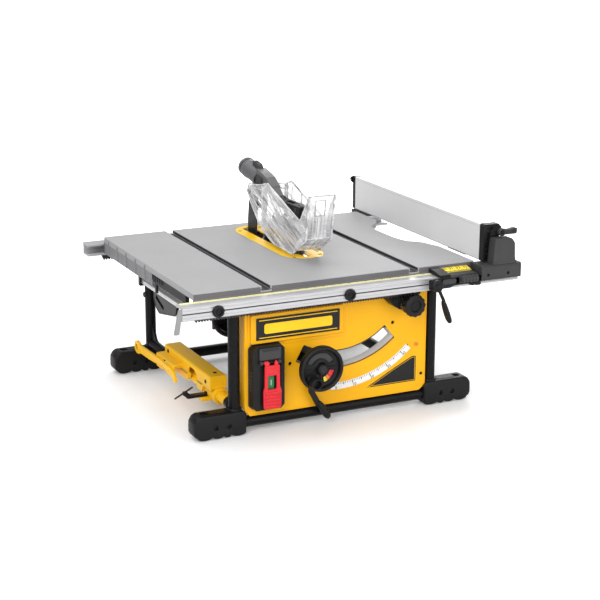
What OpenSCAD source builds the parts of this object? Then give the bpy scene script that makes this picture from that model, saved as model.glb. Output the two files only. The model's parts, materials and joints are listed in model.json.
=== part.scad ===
// Portable table saw: cast table, tube cage, tilting and lifting saw unit,
// rack-and-pinion fence rails and a swinging blade guard.
// Origin: centre of the four base bolt holes, on the floor. +X right, +Y back, +Z up.

/* [Table] */
// Width of the table, left to right
table_w = 667; // [660:1:672]
// Depth of the table, front to back
table_d = 559; // [556:1:560]
// Height of the table top above the floor
table_h = 330; // [330:1:334]
// Thickness of the table casting
table_t = 13; // [11:0.5:13]
// Width of the mitre slots
slot_w = 19; // [16:0.5:19.5]
// Depth of the mitre slots
slot_deep = 9.5; // [7:0.5:9.5]

/* [Cage and feet] */
// Outside diameter of the cage tubes
tube_d = 25; // [22:0.5:25]
// Foot length
foot_l = 121; // [110:1:124]
// Foot height
foot_h = 55; // [46:1:56]
// Foot thickness
foot_t = 40; // [36:1:42]
// Diameter of the base bolt holes
base_hole_d = 9; // [7:0.5:10]

/* [Saw unit] */
// Blade diameter
blade_d = 250; // [230:1:250]
// Blade thickness at the teeth
blade_t = 2.4; // [1.8:0.1:2.4]
// Number of blade teeth
blade_teeth = 24; // [18:1:40]
// Height of the blade above the table when fully raised
cut_depth = 77; // [60:1:77]
// Handwheel radius
wheel_r = 50; // [40:1:52]

/* [Fence and rails] */
// Length of both rails
rail_l = 797; // [780:1:797]
// Fence height
fence_h = 81; // [60:1:84]
// Fence thickness
fence_t = 20; // [16:0.5:22]
// Module of the rack teeth
rack_m = 2; // [2:0.5:2]
// Adjusting knob radius
knob_r = 26; // [20:1:26]

/* [Dust ports] */
// Inside diameter of the rear dust port
port_id = 58; // [50:1:58]
// Inside diameter of the guard dust port
guard_port_id = 36; // [30:1:38]

/* [Hidden] */
$fn = 48;
run_gap = 0.05;                    // running clearance on the radius
fit_gap = 0.02;                    // clearance round a cage tube
base_x = 10.5;                     // base centre, measured from the table centre
base_y = 11;
under_z = table_h - table_t;       // underside of the table
bevel_x = 15;                      // bevel axis, at table height
bevel_z = table_h;
blade_y = 30;
blade_z = bevel_z - (blade_d/2 - cut_depth);
cage_left = -228;                  // cage tube centres
cage_right = 249;
cage_front = -240;
cage_back = 262;
cross_z = 24;                      // tubes running left to right
side_z = 62;                       // tubes running front to back
tube_r = tube_d/2;
foot_screws_x = [20, 50];          // outward from the corner tube
foot_screw_z = 26;
wheel_angle = 21.5;                // handwheel position about the bevel axis
wheel_reach = 200;
wheel_x = bevel_x - wheel_reach*sin(wheel_angle);
wheel_z = bevel_z - wheel_reach*cos(wheel_angle);
crank_x = wheel_x - 22;            // crank grip pin
crank_z = wheel_z - 25;
axle_r = 6;
cone_big = 15.7;                   // bevel gear cone radii
cone_small = 9.7;

// ---- colours ----
function grey(v) = [v, v, v];
yellow = [0.98, 0.75, 0.1];
aluminium = [0.82, 0.83, 0.84];
steel = [0.7, 0.7, 0.72];
bright = [0.75, 0.75, 0.77];
gear_grey = [0.55, 0.55, 0.57];
clear = [0.85, 0.88, 0.9, 0.5];

// ---- helpers ----
// a coloured part, drawn from the table centre and moved to the base centre
module part(colour) { translate([-base_x, -base_y, 0]) color(colour) children(); }
// a box by its two corners
module box(low, high) { translate(low) cube(high - low); }
// rods along X, Y or Z between two positions
module rod_x(x0, x1, y, z, r) {
  translate([x0, y, z]) rotate([0, 90, 0]) cylinder(h = x1 - x0, r = r);
}
module rod_y(y0, y1, x, z, r, end_r = -1) {
  translate([x, y0, z]) rotate([-90, 0, 0])
    cylinder(h = y1 - y0, r1 = r, r2 = end_r < 0 ? r : end_r);
}
module rod_z(z0, z1, x, y, r) { translate([x, y, z0]) cylinder(h = z1 - z0, r = r); }
// plates across X, Y or Z, with points [y, z], [x, z] or [x, y]
module slab_x(x0, x1, points) {
  translate([x0, 0, 0]) rotate([90, 0, 90]) linear_extrude(x1 - x0) polygon(points);
}
module slab_y(y0, y1, points) {
  translate([0, y1, 0]) rotate([90, 0, 0]) linear_extrude(y1 - y0) polygon(points);
}
module slab_z(z0, z1, points) { translate([0, 0, z0]) linear_extrude(z1 - z0) polygon(points); }
// ring sector about the bevel axis, angles from straight down, positive to the right
function arc(r, a0, a1, n) = [for (i = [0:n]) let (a = a0 + (a1 - a0)*i/n)
  [bevel_x + r*sin(a), bevel_z - r*cos(a)]];
function sector(r0, r1, a0, a1, n) = concat(arc(r0, a0, a1, n), arc(r1, a1, a0, n));

// ---- gear teeth ----
pressure_angle = 20;
addendum = 0.9;    // in modules
dedendum = 1.2;
flank_steps = 5;
function involute(base_r, r) =
  let (t = sqrt(max(0, r*r/(base_r*base_r) - 1))) t*180/PI - atan(t);
// gear outline as [radius, angle]; size is the module
function gear(size, teeth, backlash) =
  let (pitch_r = size*teeth/2, base_r = pitch_r*cos(pressure_angle),
       tip_r = pitch_r + addendum*size, root_r = pitch_r - dedendum*size,
       half = 90/teeth - backlash/pitch_r*180/PI/2 + involute(base_r, pitch_r),
       start_r = max(base_r, root_r),
       flank = [for (i = [0:flank_steps]) let (r = start_r + (tip_r - start_r)*i/flank_steps)
         [r, half - involute(base_r, r)]])
  [for (k = [0:teeth-1]) let (c = 360*k/teeth)
    each concat([[root_r, c - half]], [for (p = flank) [p[0], c - p[1]]],
      [for (i = [flank_steps:-1:0]) [flank[i][0], c + flank[i][1]]], [[root_r, c + half]])];
function polar(points, turn = 0) =
  [for (p = points) [p[0]*cos(p[1] + turn), p[0]*sin(p[1] + turn)]];
module gear_face(size, teeth, turn, bore, backlash) {
  difference() {
    polygon(polar(gear(size, teeth, backlash), turn));
    circle(r = bore);
  }
}

// ---- table ----
// throat plate outline, [x, y]
throat = [[-31,-54],[-24,-80],[0,-103],[48,-103],[67,-72],[67,200],
  [60,225],[40,243],[14,247],[-12,237],[-27,215],[-31,190]];
throat_t = 3;
// opening below the throat plate, [x, y]
throat_opening = [[-24,-52],[-12,-78],[4,-94],[44,-94],[60,-68],[60,196],
  [52,218],[36,234],[14,238],[-8,230],[-24,205]];
// recess in the right edge, [x, y]
edge_recess = [[400,-147],[333.5,-130],[316,-73],[290,-51],[282,-7],[281,75],
  [288,119],[316,143],[334,172],[400,190]];
module table_top() part([0.76,0.76,0.77]) difference() {
  left = -table_w/2;
  back = table_d/2;
  skirt_z = 291;
  union() {
    box([left,-back,under_z],[-left,back,table_h]);
    box([left,-40,skirt_z],[left+4,back,under_z]);
    box([left,back-4,skirt_z],[left+60,back,under_z]);
    for (y = [0:60:240]) box([left-2,y,293],[left,y+6,table_h-4]);
  }
  slab_z(under_z-1, table_h+1, edge_recess);
  translate([0,0,table_h-throat_t]) linear_extrude(4) offset(delta = 0.4) polygon(throat);
  slab_z(under_z-1, table_h+1, throat_opening);
  for (x = [-170.5, 181.5])
    box([x-slot_w/2,-back-1,table_h-slot_deep],[x+slot_w/2,back+1,table_h+1]);
}
module throat_plate() part(yellow) difference() {
  slab_z(table_h-throat_t, table_h, throat);
  // blade slot
  slab_z(table_h-4, table_h+1, [[-4,-56],[9,-66],[11.5,-97],[21,-97],[23,-94],[23,239],
    [11.5,239],[9,228],[-4,226]]);
  for (hole = [[-12,-82],[52,-82],[-18,205],[56,195]])
    rod_z(table_h-4, table_h+1, hole[0], hole[1], 2.2);
}

// ---- front panel and what is on it ----
panel_y = -250;       // front face
panel_back = -246;
panel_slot = sector(173, 210, -29, 40.5, 30);
paddle_y = -277;      // stop paddle hinge
paddle_z = 161;
pinion_x = 168;       // rail pinion axis
pinion_z = 254;
module front_panel() part(yellow) difference() {
  union() {
    slab_y(panel_y, panel_back,
      [[-208,50],[-196,37],[218,37],[233,50],[233,300],[-208,300]]);
    box([-208,panel_back,50],[-205,-222,300]);
    box([230,panel_back,50],[233,-222,300]);
    box([-196,panel_back,37],[218,-222,40]);
    slab_y(-258, panel_y, [[-196,198],[22,198],[22,262],[-196,262]]);
  }
  slab_y(-260, -240, panel_slot);
  for (hole = [[-101,142],[148,203]]) rod_y(-260, -240, hole[0], hole[1], 3);
  rod_y(-260, -240, pinion_x, pinion_z, 8);
}
module blank_plates() part(grey(0.05)) {
  slab_y(-260, -258, [[-184,206],[12,206],[12,254],[-184,254]]);
  slab_y(panel_y-0.8, panel_y, [[84,61],[208,61],[208,119],[198,119],[150,96]]);
}
module bevel_scale() part(grey(0.93))
  slab_y(panel_y-0.8, panel_y, sector(246, 262, -4, 43, 30));
module slot_rim() part(grey(0.8)) difference() {
  slab_y(-252, -222, sector(171.5, 211.5, -29.6, 41.1, 30));
  slab_y(-260, -200, panel_slot);
  // clear the inner side behind the panel, and the panel thickness
  slab_y(-246, -221, sector(160, 175, -40, 50, 12));
  slab_y(-252.5, -245.9, sector(160, 220, -40, 50, 12));
}
module switch_box() part(grey(0.12)) difference() {
  union() {
    slab_y(-272, panel_y, [[-198,62],[-190,54],[-132,54],[-124,62],
      [-124,188],[-132,196],[-190,196],[-198,188]]);
    slab_y(-276, -272, [[-184,166],[-134,166],[-134,192],[-184,192]]);
    for (x = [-181, -139]) box([x-3,-281,158],[x+3,-272,164.5]);
  }
  box([-165,-273,100],[-149,-255,130]);
  rod_x(-190, -130, paddle_y, paddle_z, 1.55);
}
module start_button() part([0.15,0.45,0.25]) box([-164.5,-274,100.5],[-149.5,-260,129.5]);
module stop_paddle() part([0.85,0.15,0.2]) difference() {
  union() {
    box([-177,-282,58],[-136,-276.3,155]);
    rod_x(-175, -145, paddle_y, paddle_z, 3.2);
    box([-175,-280,154],[-145,-276.3,160]);
    rod_x(-186, -134, paddle_y, paddle_z, 1.5);
    for (z = [62:9:98]) box([-175,-284,z],[-138,-282,z+4]);
  }
  box([-167,-283,102],[-147,-275,132]);
}

// ---- cage and feet ----
module roll_cage() part(grey(0.09)) {
  for (x = [cage_left, cage_right], y = [cage_front, cage_back])
    rod_z(12, under_z, x, y, tube_r);
  for (y = [cage_front, cage_back]) rod_x(cage_left, cage_right, y, cross_z, tube_r);
  for (x = [cage_left, cage_right]) {
    rod_y(cage_front, cage_back, x, side_z, tube_r);
    // corner gussets
    slab_x(x-3, x+3, [[cage_back,60],[cage_back-75,60],[cage_back-75,66],[cage_back,112]]);
    slab_x(x-3, x+3, [[cage_front,60],[cage_front+30,60],[cage_front,100]]);
  }
}
// one foot about its corner tube, +X outward
module foot() {
  pad_t = 3;
  body_end = foot_l - 34;
  half_h = (foot_h - pad_t)/2;
  difference() {
    union() {
      box([-22,-foot_t/2,pad_t],[body_end,foot_t/2,foot_h]);
      translate([body_end,0,pad_t+half_h]) rotate([90,0,0]) translate([0,0,-foot_t/2])
        linear_extrude(foot_t)
        polygon([[0,-half_h],[8,-half_h],[12,-14],[12,16],[2,half_h],[0,half_h]]);
      for (x = [-18, 12, 64]) box([x,-foot_t/2+2,0],[x+20,foot_t/2-2,pad_t]);
    }
    rod_z(-1, foot_h+1, 0, 0, tube_r+fit_gap);
    rod_x(-30, 0, 0, cross_z, tube_r+fit_gap);
    rod_y(-foot_t, foot_t, 0, side_z, tube_r+fit_gap);
    rod_z(-1, foot_h+1, 70, 0, base_hole_d/2);
    for (x = foot_screws_x) rod_y(-foot_t, -foot_t/2+5, x, foot_screw_z, 5);
  }
}
module feet() part(grey(0.2)) for (y = [cage_front, cage_back]) difference() {
  union() {
    translate([cage_right,y,0]) foot();
    translate([cage_left,y,0]) mirror([1,0,0]) foot();
  }
  // room for the lower corners of the front panel
  box([-213.3,-250.2,30],[-200,-215,60]);
  box([215,-250.2,43],[233.3,-215,60]);
}
module foot_screws() part(grey(0.1))
  for (y = [cage_front, cage_back], dx = foot_screws_x, x = [cage_left-dx, cage_right+dx])
    rod_y(y-foot_t/2+2, y-foot_t/2+5, x, foot_screw_z, 4.9);

// ---- table underside ----
lever_x = 201.5;      // rail lock lever axis
lever_z = 303;
gauge_y = 20;         // mitre head pivot
gauge_z = 257.7;
module rail_guides() part(grey(0.14))
  for (side = [-1, 1], x = [-205, 197, 290]) scale([1,side,1]) {
    box([x,266,290.5],[x+34,308,309.5]);
    box([x,266,309.5],[x+34,279,under_z]);
  }
module scale_cover() part(grey(0.12)) {
  box([218,-330,315.5],[243,-279.5,325]);
  slab_x(218, 318, [[-336,300],[-336,315.6],[-330,319],[-300,321],[-300,315.5],
    [-333,315.5],[-333,300]]);
  box([312,-301,315.5],[318,-279.5,322]);
  slab_y(-336, -333, [[188,292],[238,292],[250,296],[318,298],[318,315],[188,315]]);
  rod_y(-341, -336, lever_x, lever_z, 14);
  rod_y(-353, -341, lever_x, lever_z, 5);
  rod_x(264, 306, -341, 309, 7.5);
  box([262,-338,300],[308,-336,317]);
}
module knob_housing() part(grey(0.12)) {
  difference() {
    slab_y(-281, panel_y,
      [[120,281],[122,262],[136,248],[152,238],[196,234],[196,281]]);
    rod_y(-300, -240, pinion_x, pinion_z, axle_r+run_gap);
  }
  difference() {
    box([148,262,236],[188,278.5,under_z]);
    rod_y(250, 290, pinion_x, pinion_z, axle_r+run_gap);
  }
}
module trunnions() part([0.45,0.45,0.47])
  for (y = [[-233,-218],[241,256]]) difference() {
    box([-66,y[0],248],[58,y[1],under_z]);
    slab_y(y[0]-1, y[1]+1, sector(62, 70.3, -82, 36, 30));
    rod_y(y[0]-1, y[1]+1, bevel_x, bevel_z, 40);
    slab_y(y[0]-1, y[1]+1, [[-67,317.5],[-67,290],[-52,290],[-52,317.5]]);
  }
module gauge_holder() part([0.22,0.22,0.23]) {
  box([-331,-232,297],[-326,-52,under_z]);
  box([-331,-60,277],[-326,-52,297]);
  for (y = [-180, 112]) {
    box([-306,y,249],[-302,y+12,under_z]);
    box([-302,y,249],[-276,y+12,252.8]);
  }
}
module mitre_bar() part(bright) {
  box([-300,-190,253],[-281.2,135,262.4]);
  rod_x(-281.2, -274, gauge_y, gauge_z, 4);
}
module mitre_head() part(grey(0.08)) difference() {
  slab_x(-281, -275,
    [[-52,263],[-52,240],[-44,214],[62,194],[80,203],[95,225],[95,263]]);
  rod_x(-285, -270, gauge_y, gauge_z, 4+run_gap);
  hull() {
    rod_x(-285, -270, 76, 229, 4.5);
    rod_x(-285, -270, 35, 214, 4.5);
  }
}
module power_cord() part(grey(0.06)) {
  cord_r = 4.5;
  bend_r = 46;
  cord_y = -150;
  translate([-190,cord_y,236]) rotate([90,0,0]) rotate([0,0,180])
    rotate_extrude(angle = 90) translate([bend_r,0]) circle(r = cord_r, $fn = 24);
  rod_x(-190, -130, cord_y, 236-bend_r, cord_r);
  rod_z(236, 300, -190-bend_r, cord_y, cord_r);
  box([-246,-158,300],[-226,-142,under_z]);
}
module storage_bracket() part(yellow) difference() {
  union() {
    box([-252,-165,75],[-212,105,107]);
    box([-252,-120,60],[-243,-78,76]);
    box([-252,-36,60],[-243,60,76]);
    rod_y(-172, -118, cage_left, side_z, 18.5);
    box([-262,-142,45],[-240,-120,54.5]);
    box([-275.5,-10,88],[-252,100,92]);
    box([-275.5,-10,60],[-272,40,92]);
    box([-275.5,60,60],[-272,100,92]);
  }
  rod_y(-210, 110, cage_left, side_z, tube_r+fit_gap);
  box([-248,-158,79],[-216,106,103]);
}
module wrenches() part(grey(0.1)) {
  box([-292,-137,54.5],[-247,-124,61.5]);
  slab_y(-132, -129, [[-321.2,58.4],[-319.8,55.6],[-277.8,76.6],[-279.2,79.4]]);
}
module push_stick() part([0.98,0.72,0.1]) difference() {
  slab_x(-282, -276, [[-34,58],[-20,58],[-8,70],[190,64],[205,58],[222,60],[230,72],
    [222,86],[205,88],[190,82],[-2,84],[-22,80],[-30,72]]);
  rod_x(-290, -270, 214, 73, 7);
}

// ---- rails ----
rail_x = -372;                    // left end of both rails
rail_low = 286;
rail_high = 314;
locators_x = [-295, 5, 305];
locator_z = 300;
rack_z = 275;                     // rack pitch line
rack_pitch = PI*rack_m;
rack_span = [-80, 3];             // first and last tooth, counted from the pinion
module rail(side) {
  end_x = rail_x + rail_l;
  scale([1,side,1]) difference() {
    box([rail_x,281,rail_low],[end_x,318,rail_high]);
    box([rail_x-1,280,rail_low+4],[end_x+1,314,rail_high-4]);
    box([rail_x-1,316.5,299],[end_x+1,319,301.5]);
    for (x = locators_x) rod_y(310, 320, x, locator_z, 3);
  }
}
module front_rail() part(aluminium) rail(-1);
module rear_rail() part(aluminium) rail(1);
// rack outline, [x, z], with a gap centred above the pinion
function rack_outline() =
  let (root = dedendum*rack_m, tip = addendum*rack_m, slope = tan(pressure_angle),
       half = rack_pitch/4 - 0.08)
  concat([[pinion_x + (rack_span[0] - 0.5)*rack_pitch, rail_low]],
    [for (k = [rack_span[0]:rack_span[1]]) let (c = pinion_x + (k + 0.5)*rack_pitch)
      each [[c - half - root*slope, rack_z + root], [c - half + tip*slope, rack_z - tip],
            [c + half - tip*slope, rack_z - tip], [c + half + root*slope, rack_z + root]]],
    [[pinion_x + (rack_span[1] + 1.5)*rack_pitch, rail_low]]);
module rail_racks() part([0.6,0.6,0.62]) for (y = [-292, 284]) slab_y(y, y+8, rack_outline());
module rail_scale() part([0.95,0.85,0.2]) box([-366,-291,rail_high],[322,-282,rail_high+0.8]);
module locator_screws() part(grey(0.06))
  for (side = [-1, 1], x = locators_x) scale([1,side,1]) {
    rod_y(310.5, 318, x, locator_z, 3);
    rod_y(318, 326, x, locator_z, 12, 11);
  }
module fence_carrier() part([0.16,0.16,0.17]) {
  difference() {
    union() {
      box([322,-330.5,296],[424,-318,329]);
      box([322,-318,314],[424,-283,329]);
    }
    for (x = [340, 391]) rod_y(-331, -326, x, 308, 4);
    box([312,-327,287],[326,-317,314]);
    rod_y(-327, -318, 305, locator_z, 12.5);
  }
  slab_y(-328, -303, [[352,329],[411,329],[409,345],[408,374],[399,386],[357,386]]);
  box([340,283,314],[420,318,329]);
  slab_y(306, 318, [[372,329],[420,329],[414,370],[376,370]]);
}
module rail_end_stop() part(aluminium) {
  box([rail_x-3,-318,rail_low],[rail_x,-314.2,rail_high]);
  slab_y(-318, -314.2,
    [[-375,312],[-375,287],[-379,260],[-390.5,260],[-383,300],[-380,312]]);
}
module pinion_shaft() part(steel) rod_y(-311, 296, pinion_x, pinion_z, axle_r);
module rail_pinions() part(gear_grey) {
  width = 11.5;
  for (y = [-294, 282.5])
    translate([pinion_x,y+width,pinion_z]) rotate([90,0,0]) linear_extrude(width)
      gear_face(rack_m, 21, turn = 90, bore = axle_r, backlash = 0.15);
}
module adjust_knob() part(grey(0.1)) difference() {
  union() {
    rod_y(-316, -296, pinion_x, pinion_z, knob_r-1);
    for (a = [0:30:330])
      translate([pinion_x,0,pinion_z]) rotate([0,a,0]) rod_y(-315, -300, knob_r-5, 0, 5);
  }
  rod_y(-317, -311, pinion_x, pinion_z, 12);
  rod_y(-312, -290, pinion_x, pinion_z, axle_r);
}
module rail_lock_lever() part(grey(0.09)) difference() {
  union() {
    rod_y(-352, -342, lever_x, lever_z, 13);
    slab_y(-351, -344, [[194.5,298],[208,295],[222,262],[212,262]]);
    slab_y(-353, -341, [[206,262],[226,262],[243,226],[238,214],[226,214],[214,228]]);
  }
  rod_y(-360, -330, lever_x, lever_z, 5+run_gap);
}

// ---- fence ----
fence_x = 343;        // left face
fence_z = 332;        // bottom of the beam
fence_front = -283;
fence_back = 305;
front_latch_x = fence_x + 40;
front_latch_z = 396;
rear_latch_x = fence_x + 20;
rear_latch_z = 388;
module fence_beam() part([0.8,0.81,0.82]) difference() {
  box([fence_x,fence_front,fence_z],[fence_x+fence_t,fence_back,fence_z+fence_h]);
  // two hollows, one above the other: [bottom, top]
  for (z = [[336,370],[374,fence_z+fence_h-4]])
    box([fence_x+3,fence_front-1,z[0]],[fence_x+fence_t-3,fence_back+1,z[1]]);
}
module fence_head() part(grey(0.08)) {
  x = front_latch_x;
  box([fence_x,-300,331],[x,fence_front,414]);
  slab_y(-300, -286, [[x,386.5],[x+6,392],[x+6,406],[x,414]]);
  rod_y(-316, -300, x, front_latch_z, 4);
}
module fence_tail() part(grey(0.08)) {
  box([fence_x,fence_back,331],[fence_x+25,319,412]);
  rod_y(319, 332, rear_latch_x, rear_latch_z, 4);
  rod_y(319, 323, fence_x+4, 404, 9);
  rod_y(323, 331, fence_x+4, 404, 6);
}
module fence_latch_front() part(grey(0.12)) difference() {
  x = front_latch_x;
  union() {
    rod_y(-314, -302, x, front_latch_z, 8.5);
    slab_y(-313, -303, [[x,402],[x+34,404],[x+38,401],[x+38,392],[x+34,390],[x,390]]);
  }
  rod_y(-320, -290, x, front_latch_z, 4+run_gap);
}
module fence_latch_rear() part(grey(0.12)) difference() {
  x = rear_latch_x;
  union() {
    rod_y(321, 331, x, rear_latch_z, 8);
    slab_y(322, 330, [[x,393],[x+32,394],[x+32,383],[x,383]]);
  }
  rod_y(310, 340, x, rear_latch_z, 4+run_gap);
}

// ---- tilting unit ----
post_x = -62;
posts_y = [-110, 165];
post_r = 8;
screw_y = -185;       // lift screw, upright below the handwheel's axle
port_x = 16;          // rear dust port axis
port_z = 140;
module tilt_bracket() part([0.5,0.5,0.52]) difference() {
  union() {
    for (y = [-216, 200])
      slab_y(y, y+8, [[-92,306],[-8,306],[-2,290],[-2,200],[-20,95],[-92,95]]);
    box([-85,-208,96],[-50,200,104]);
    box([-85,-208,292],[-50,-92,300]);
    box([-85,148,292],[-50,200,300]);
    // shoes that run in the trunnion slots
    for (y = [[-231,-216],[208,254]]) slab_y(y[0], y[1], sector(62.3, 70, -74, -22, 20));
    rod_y(-272, -216, wheel_x, wheel_z, 9.5);
  }
  rod_y(-280, -190, wheel_x, wheel_z, axle_r+run_gap);
  rod_y(190, 210, port_x, port_z, 34);
  rod_z(94, 106, wheel_x, screw_y, 4+run_gap);
  rod_z(290, 302, wheel_x, screw_y, 4+run_gap);
  for (y = posts_y) {
    rod_z(95, 106, post_x, y, post_r);
    rod_z(290, 301, post_x, y, post_r);
  }
}
module lift_posts() part(bright) for (y = posts_y) rod_z(96, 300, post_x, y, post_r);
module blade_shroud() part(grey(0.15)) difference() {
  union() {
    box([41,-101,88],[44,161,278]);
    box([-10,-101,88],[41,-98,250]);
    box([-10,158,88],[41,161,176]);
    box([-10,-101,88],[41,161,91]);
    box([-58,0,88],[-10,40,96]);
    rod_y(161, 300, port_x, port_z, port_id/2+3);
    rod_y(206, 210.5, port_x, port_z, 33.9);
  }
  rod_y(157.9, 301, port_x, port_z, port_id/2);
}
module bevel_lock_lever() part(grey(0.1)) difference() {
  x = wheel_x;
  union() {
    rod_y(-272, -262, x, wheel_z, 18);
    slab_y(-271, -263, [[x-7,wheel_z],[x+7,wheel_z],[x+5,80],[x+24,46],[x+12,38],[x-7,78]]);
    slab_y(-276, -260,
      [[x+8,50],[x+22,55],[x+43,28],[x+46,17],[x+40,9],[x+30,10],[x+21,27]]);
  }
  rod_y(-280, -255, x, wheel_z, 9.5+run_gap);
}
// arc about the handwheel axis in n steps
function wheel_arc(r, a0, a1, n) = [for (i = [0:n]) let (a = a0 + (a1 - a0)*i/n)
  [wheel_x + r*cos(a), wheel_z + r*sin(a)]];
module handwheel() part(grey(0.1)) difference() {
  union() {
    difference() {
      rod_y(-322, -306, wheel_x, wheel_z, wheel_r);
      rod_y(-323, -311, wheel_x, wheel_z, wheel_r-9);
      rod_y(-308.5, -300, wheel_x, wheel_z, wheel_r-11);
    }
    rod_y(-326, -274, wheel_x, wheel_z, 12);
    rod_y(-318, -306, crank_x, crank_z, 13);
  }
  rod_y(-330, -270, wheel_x, wheel_z, axle_r);
  // windows: [start angle, end angle, steps]
  for (w = [[20,160,14],[-10,-80,7]])
    slab_y(-330, -300,
      concat(wheel_arc(20, w[0], w[1], w[2]), wheel_arc(34, w[1], w[0], w[2])));
  rod_y(-330, -312, crank_x, crank_z, 4+run_gap);
}
module wheel_axle() part(steel) {
  rod_y(-326, -195, wheel_x, wheel_z, axle_r);
  rod_y(-201, -195, wheel_x, wheel_z, cone_big, cone_small);
}
module crank_grip() part(grey(0.12)) {
  rod_y(-322.2, -312.5, crank_x, crank_z, 4);
  difference() {
    rod_y(-342, -322.2, crank_x, crank_z, 12, 13);
    rod_y(-343, -331, crank_x, crank_z, 9);
  }
}
module lift_screw() part(steel) {
  rod_z(104.1, 291.9, wheel_x, screw_y, 7);
  rod_z(97, 104.1, wheel_x, screw_y, 4);
  rod_z(291.9, 299, wheel_x, screw_y, 4);
  translate([wheel_x,screw_y,wheel_z-16]) cylinder(h = 6, r1 = cone_big, r2 = cone_small);
}

// ---- lifting unit ----
gear_m = 1.5;         // module of the arbor gears
arbor_teeth = 34;
motor_teeth = 14;
arbor_backlash = 0.14;
motor_angle = atan2(19.9, 30);    // from arbor to motor, below the horizontal
gear_centres = gear_m*(arbor_teeth + motor_teeth)/2;
motor_y = blade_y + gear_centres*cos(motor_angle);
motor_z = blade_z - gear_centres*sin(motor_angle);
arbor_r = 8;
motor_shaft_r = 5;
flange_r = 22;
blade_bore_r = 12.7;
knife_y = 190;        // riving knife pin
knife_z = 250;
module lift_carriage() part([0.58,0.58,0.6]) difference() {
  union() {
    box([-48,-150,236],[-40,198,304]);
    for (y = posts_y) box([-76,y-14,236],[-48,y+14,286]);
    box([-76,-202,236],[-40,-150,262]);
    box([-40,168,238],[14,198,262]);
  }
  for (y = posts_y) rod_z(230, 290, post_x, y, post_r+run_gap);
  rod_z(230, 270, wheel_x, screw_y, 7+run_gap);
  rod_x(-50, -38, blade_y, blade_z, arbor_r+run_gap);
  rod_x(-50, -38, motor_y, motor_z, 9);
  rod_x(-2, 20, knife_y, knife_z, 3);
}
module arbor_housing() part(gear_grey) difference() {
  union() {
    box([-24,-18,248],[-16,98,300]);
    rod_x(-24, -6, blade_y, blade_z, 18);
    rod_x(-40, -24, -8, 262, 6);
    rod_x(-40, -24, 88, 282, 6);
  }
  rod_x(-50, 0, blade_y, blade_z, arbor_r+run_gap);
  rod_x(-26, -14, motor_y, motor_z, motor_shaft_r+run_gap);
}
module motor_housing() part([0.3,0.3,0.31]) difference() {
  rod_x(-195, -48, motor_y, motor_z, 42);
  rod_x(-188, -54, motor_y, motor_z, 38);
  rod_x(-200, -40, motor_y, motor_z, motor_shaft_r+run_gap);
  for (a = [0:30:330])
    translate([-196,motor_y,motor_z]) rotate([a,0,0]) box([0,22,-2.5],[9,34,2.5]);
}
module gear_x(x0, x1, y, z, teeth, turn, bore) {
  translate([x0,y,z]) rotate([90,0,90]) linear_extrude(x1 - x0)
    gear_face(gear_m, teeth, turn, bore, arbor_backlash);
}
module armature() part([0.65,0.5,0.35]) {
  rod_x(-194, -15, motor_y, motor_z, motor_shaft_r);
  rod_x(-168, -78, motor_y, motor_z, 30);
  gear_x(-38, -27, motor_y, motor_z, motor_teeth,
    180/motor_teeth + 180 - motor_angle, motor_shaft_r);
}
module arbor() part(steel) {
  rod_x(-47.5, -5.8, blade_y, blade_z, arbor_r);
  rod_x(-5.8, 9, blade_y, blade_z, 12);
  rod_x(9, bevel_x-blade_t/2, blade_y, blade_z, flange_r);
  rod_x(13, 17.5, blade_y, blade_z, blade_bore_r);
  rod_x(17, 34, blade_y, blade_z, arbor_r);
  gear_x(-37.5, -27.5, blade_y, blade_z, arbor_teeth, -motor_angle, arbor_r);
}
// outline of blade tooth i, [radius, angle]
function tooth(i) = let (a = 360*i/blade_teeth, r = blade_d/2)
  [[r-9, a-4], [r-1.2, a+2.2], [r, a+2.9], [r-10, a+3.6], [r-11, a+5.5]];
module blade() part([0.75,0.75,0.76])
  translate([bevel_x-blade_t/2,blade_y,blade_z]) rotate([90,0,90]) linear_extrude(blade_t)
    difference() {
      polygon(polar([for (i = [0:blade_teeth-1]) each tooth(i)]));
      circle(r = blade_bore_r);
    }
module blade_clamp() part([0.6,0.6,0.62]) difference() {
  union() {
    rod_x(bevel_x+blade_t/2, 20.5, blade_y, blade_z, flange_r);
    translate([20.5,blade_y,blade_z]) rotate([0,90,0]) cylinder(h = 11, r = 15, $fn = 6);
  }
  rod_x(10, 40, blade_y, blade_z, arbor_r);
  rod_x(10, 17.5, blade_y, blade_z, blade_bore_r);
}
module riving_knife() part(grey(0.12)) difference() {
  slab_x(14, 16.2, [[168,238],[198,238],[212,290],[231,320],[232,350],[226,392],
    [204,446],[176,446],[172,430],[180,353],[182,330],[172,290]]);
  rod_x(13, 17, knife_y, knife_z, 3);
}
module knife_lock() part([0.75,0.1,0.1]) {
  rod_x(-1.5, 16.2, knife_y, knife_z, 2.95);
  rod_x(16.2, 24, knife_y, knife_z, 9);
  slab_x(18, 24, [[190,258],[232,256],[236,250],[232,244],[190,242]]);
}

// ---- guard ----
guard_y = 150;        // shield pivot
guard_z = 437;
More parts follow.
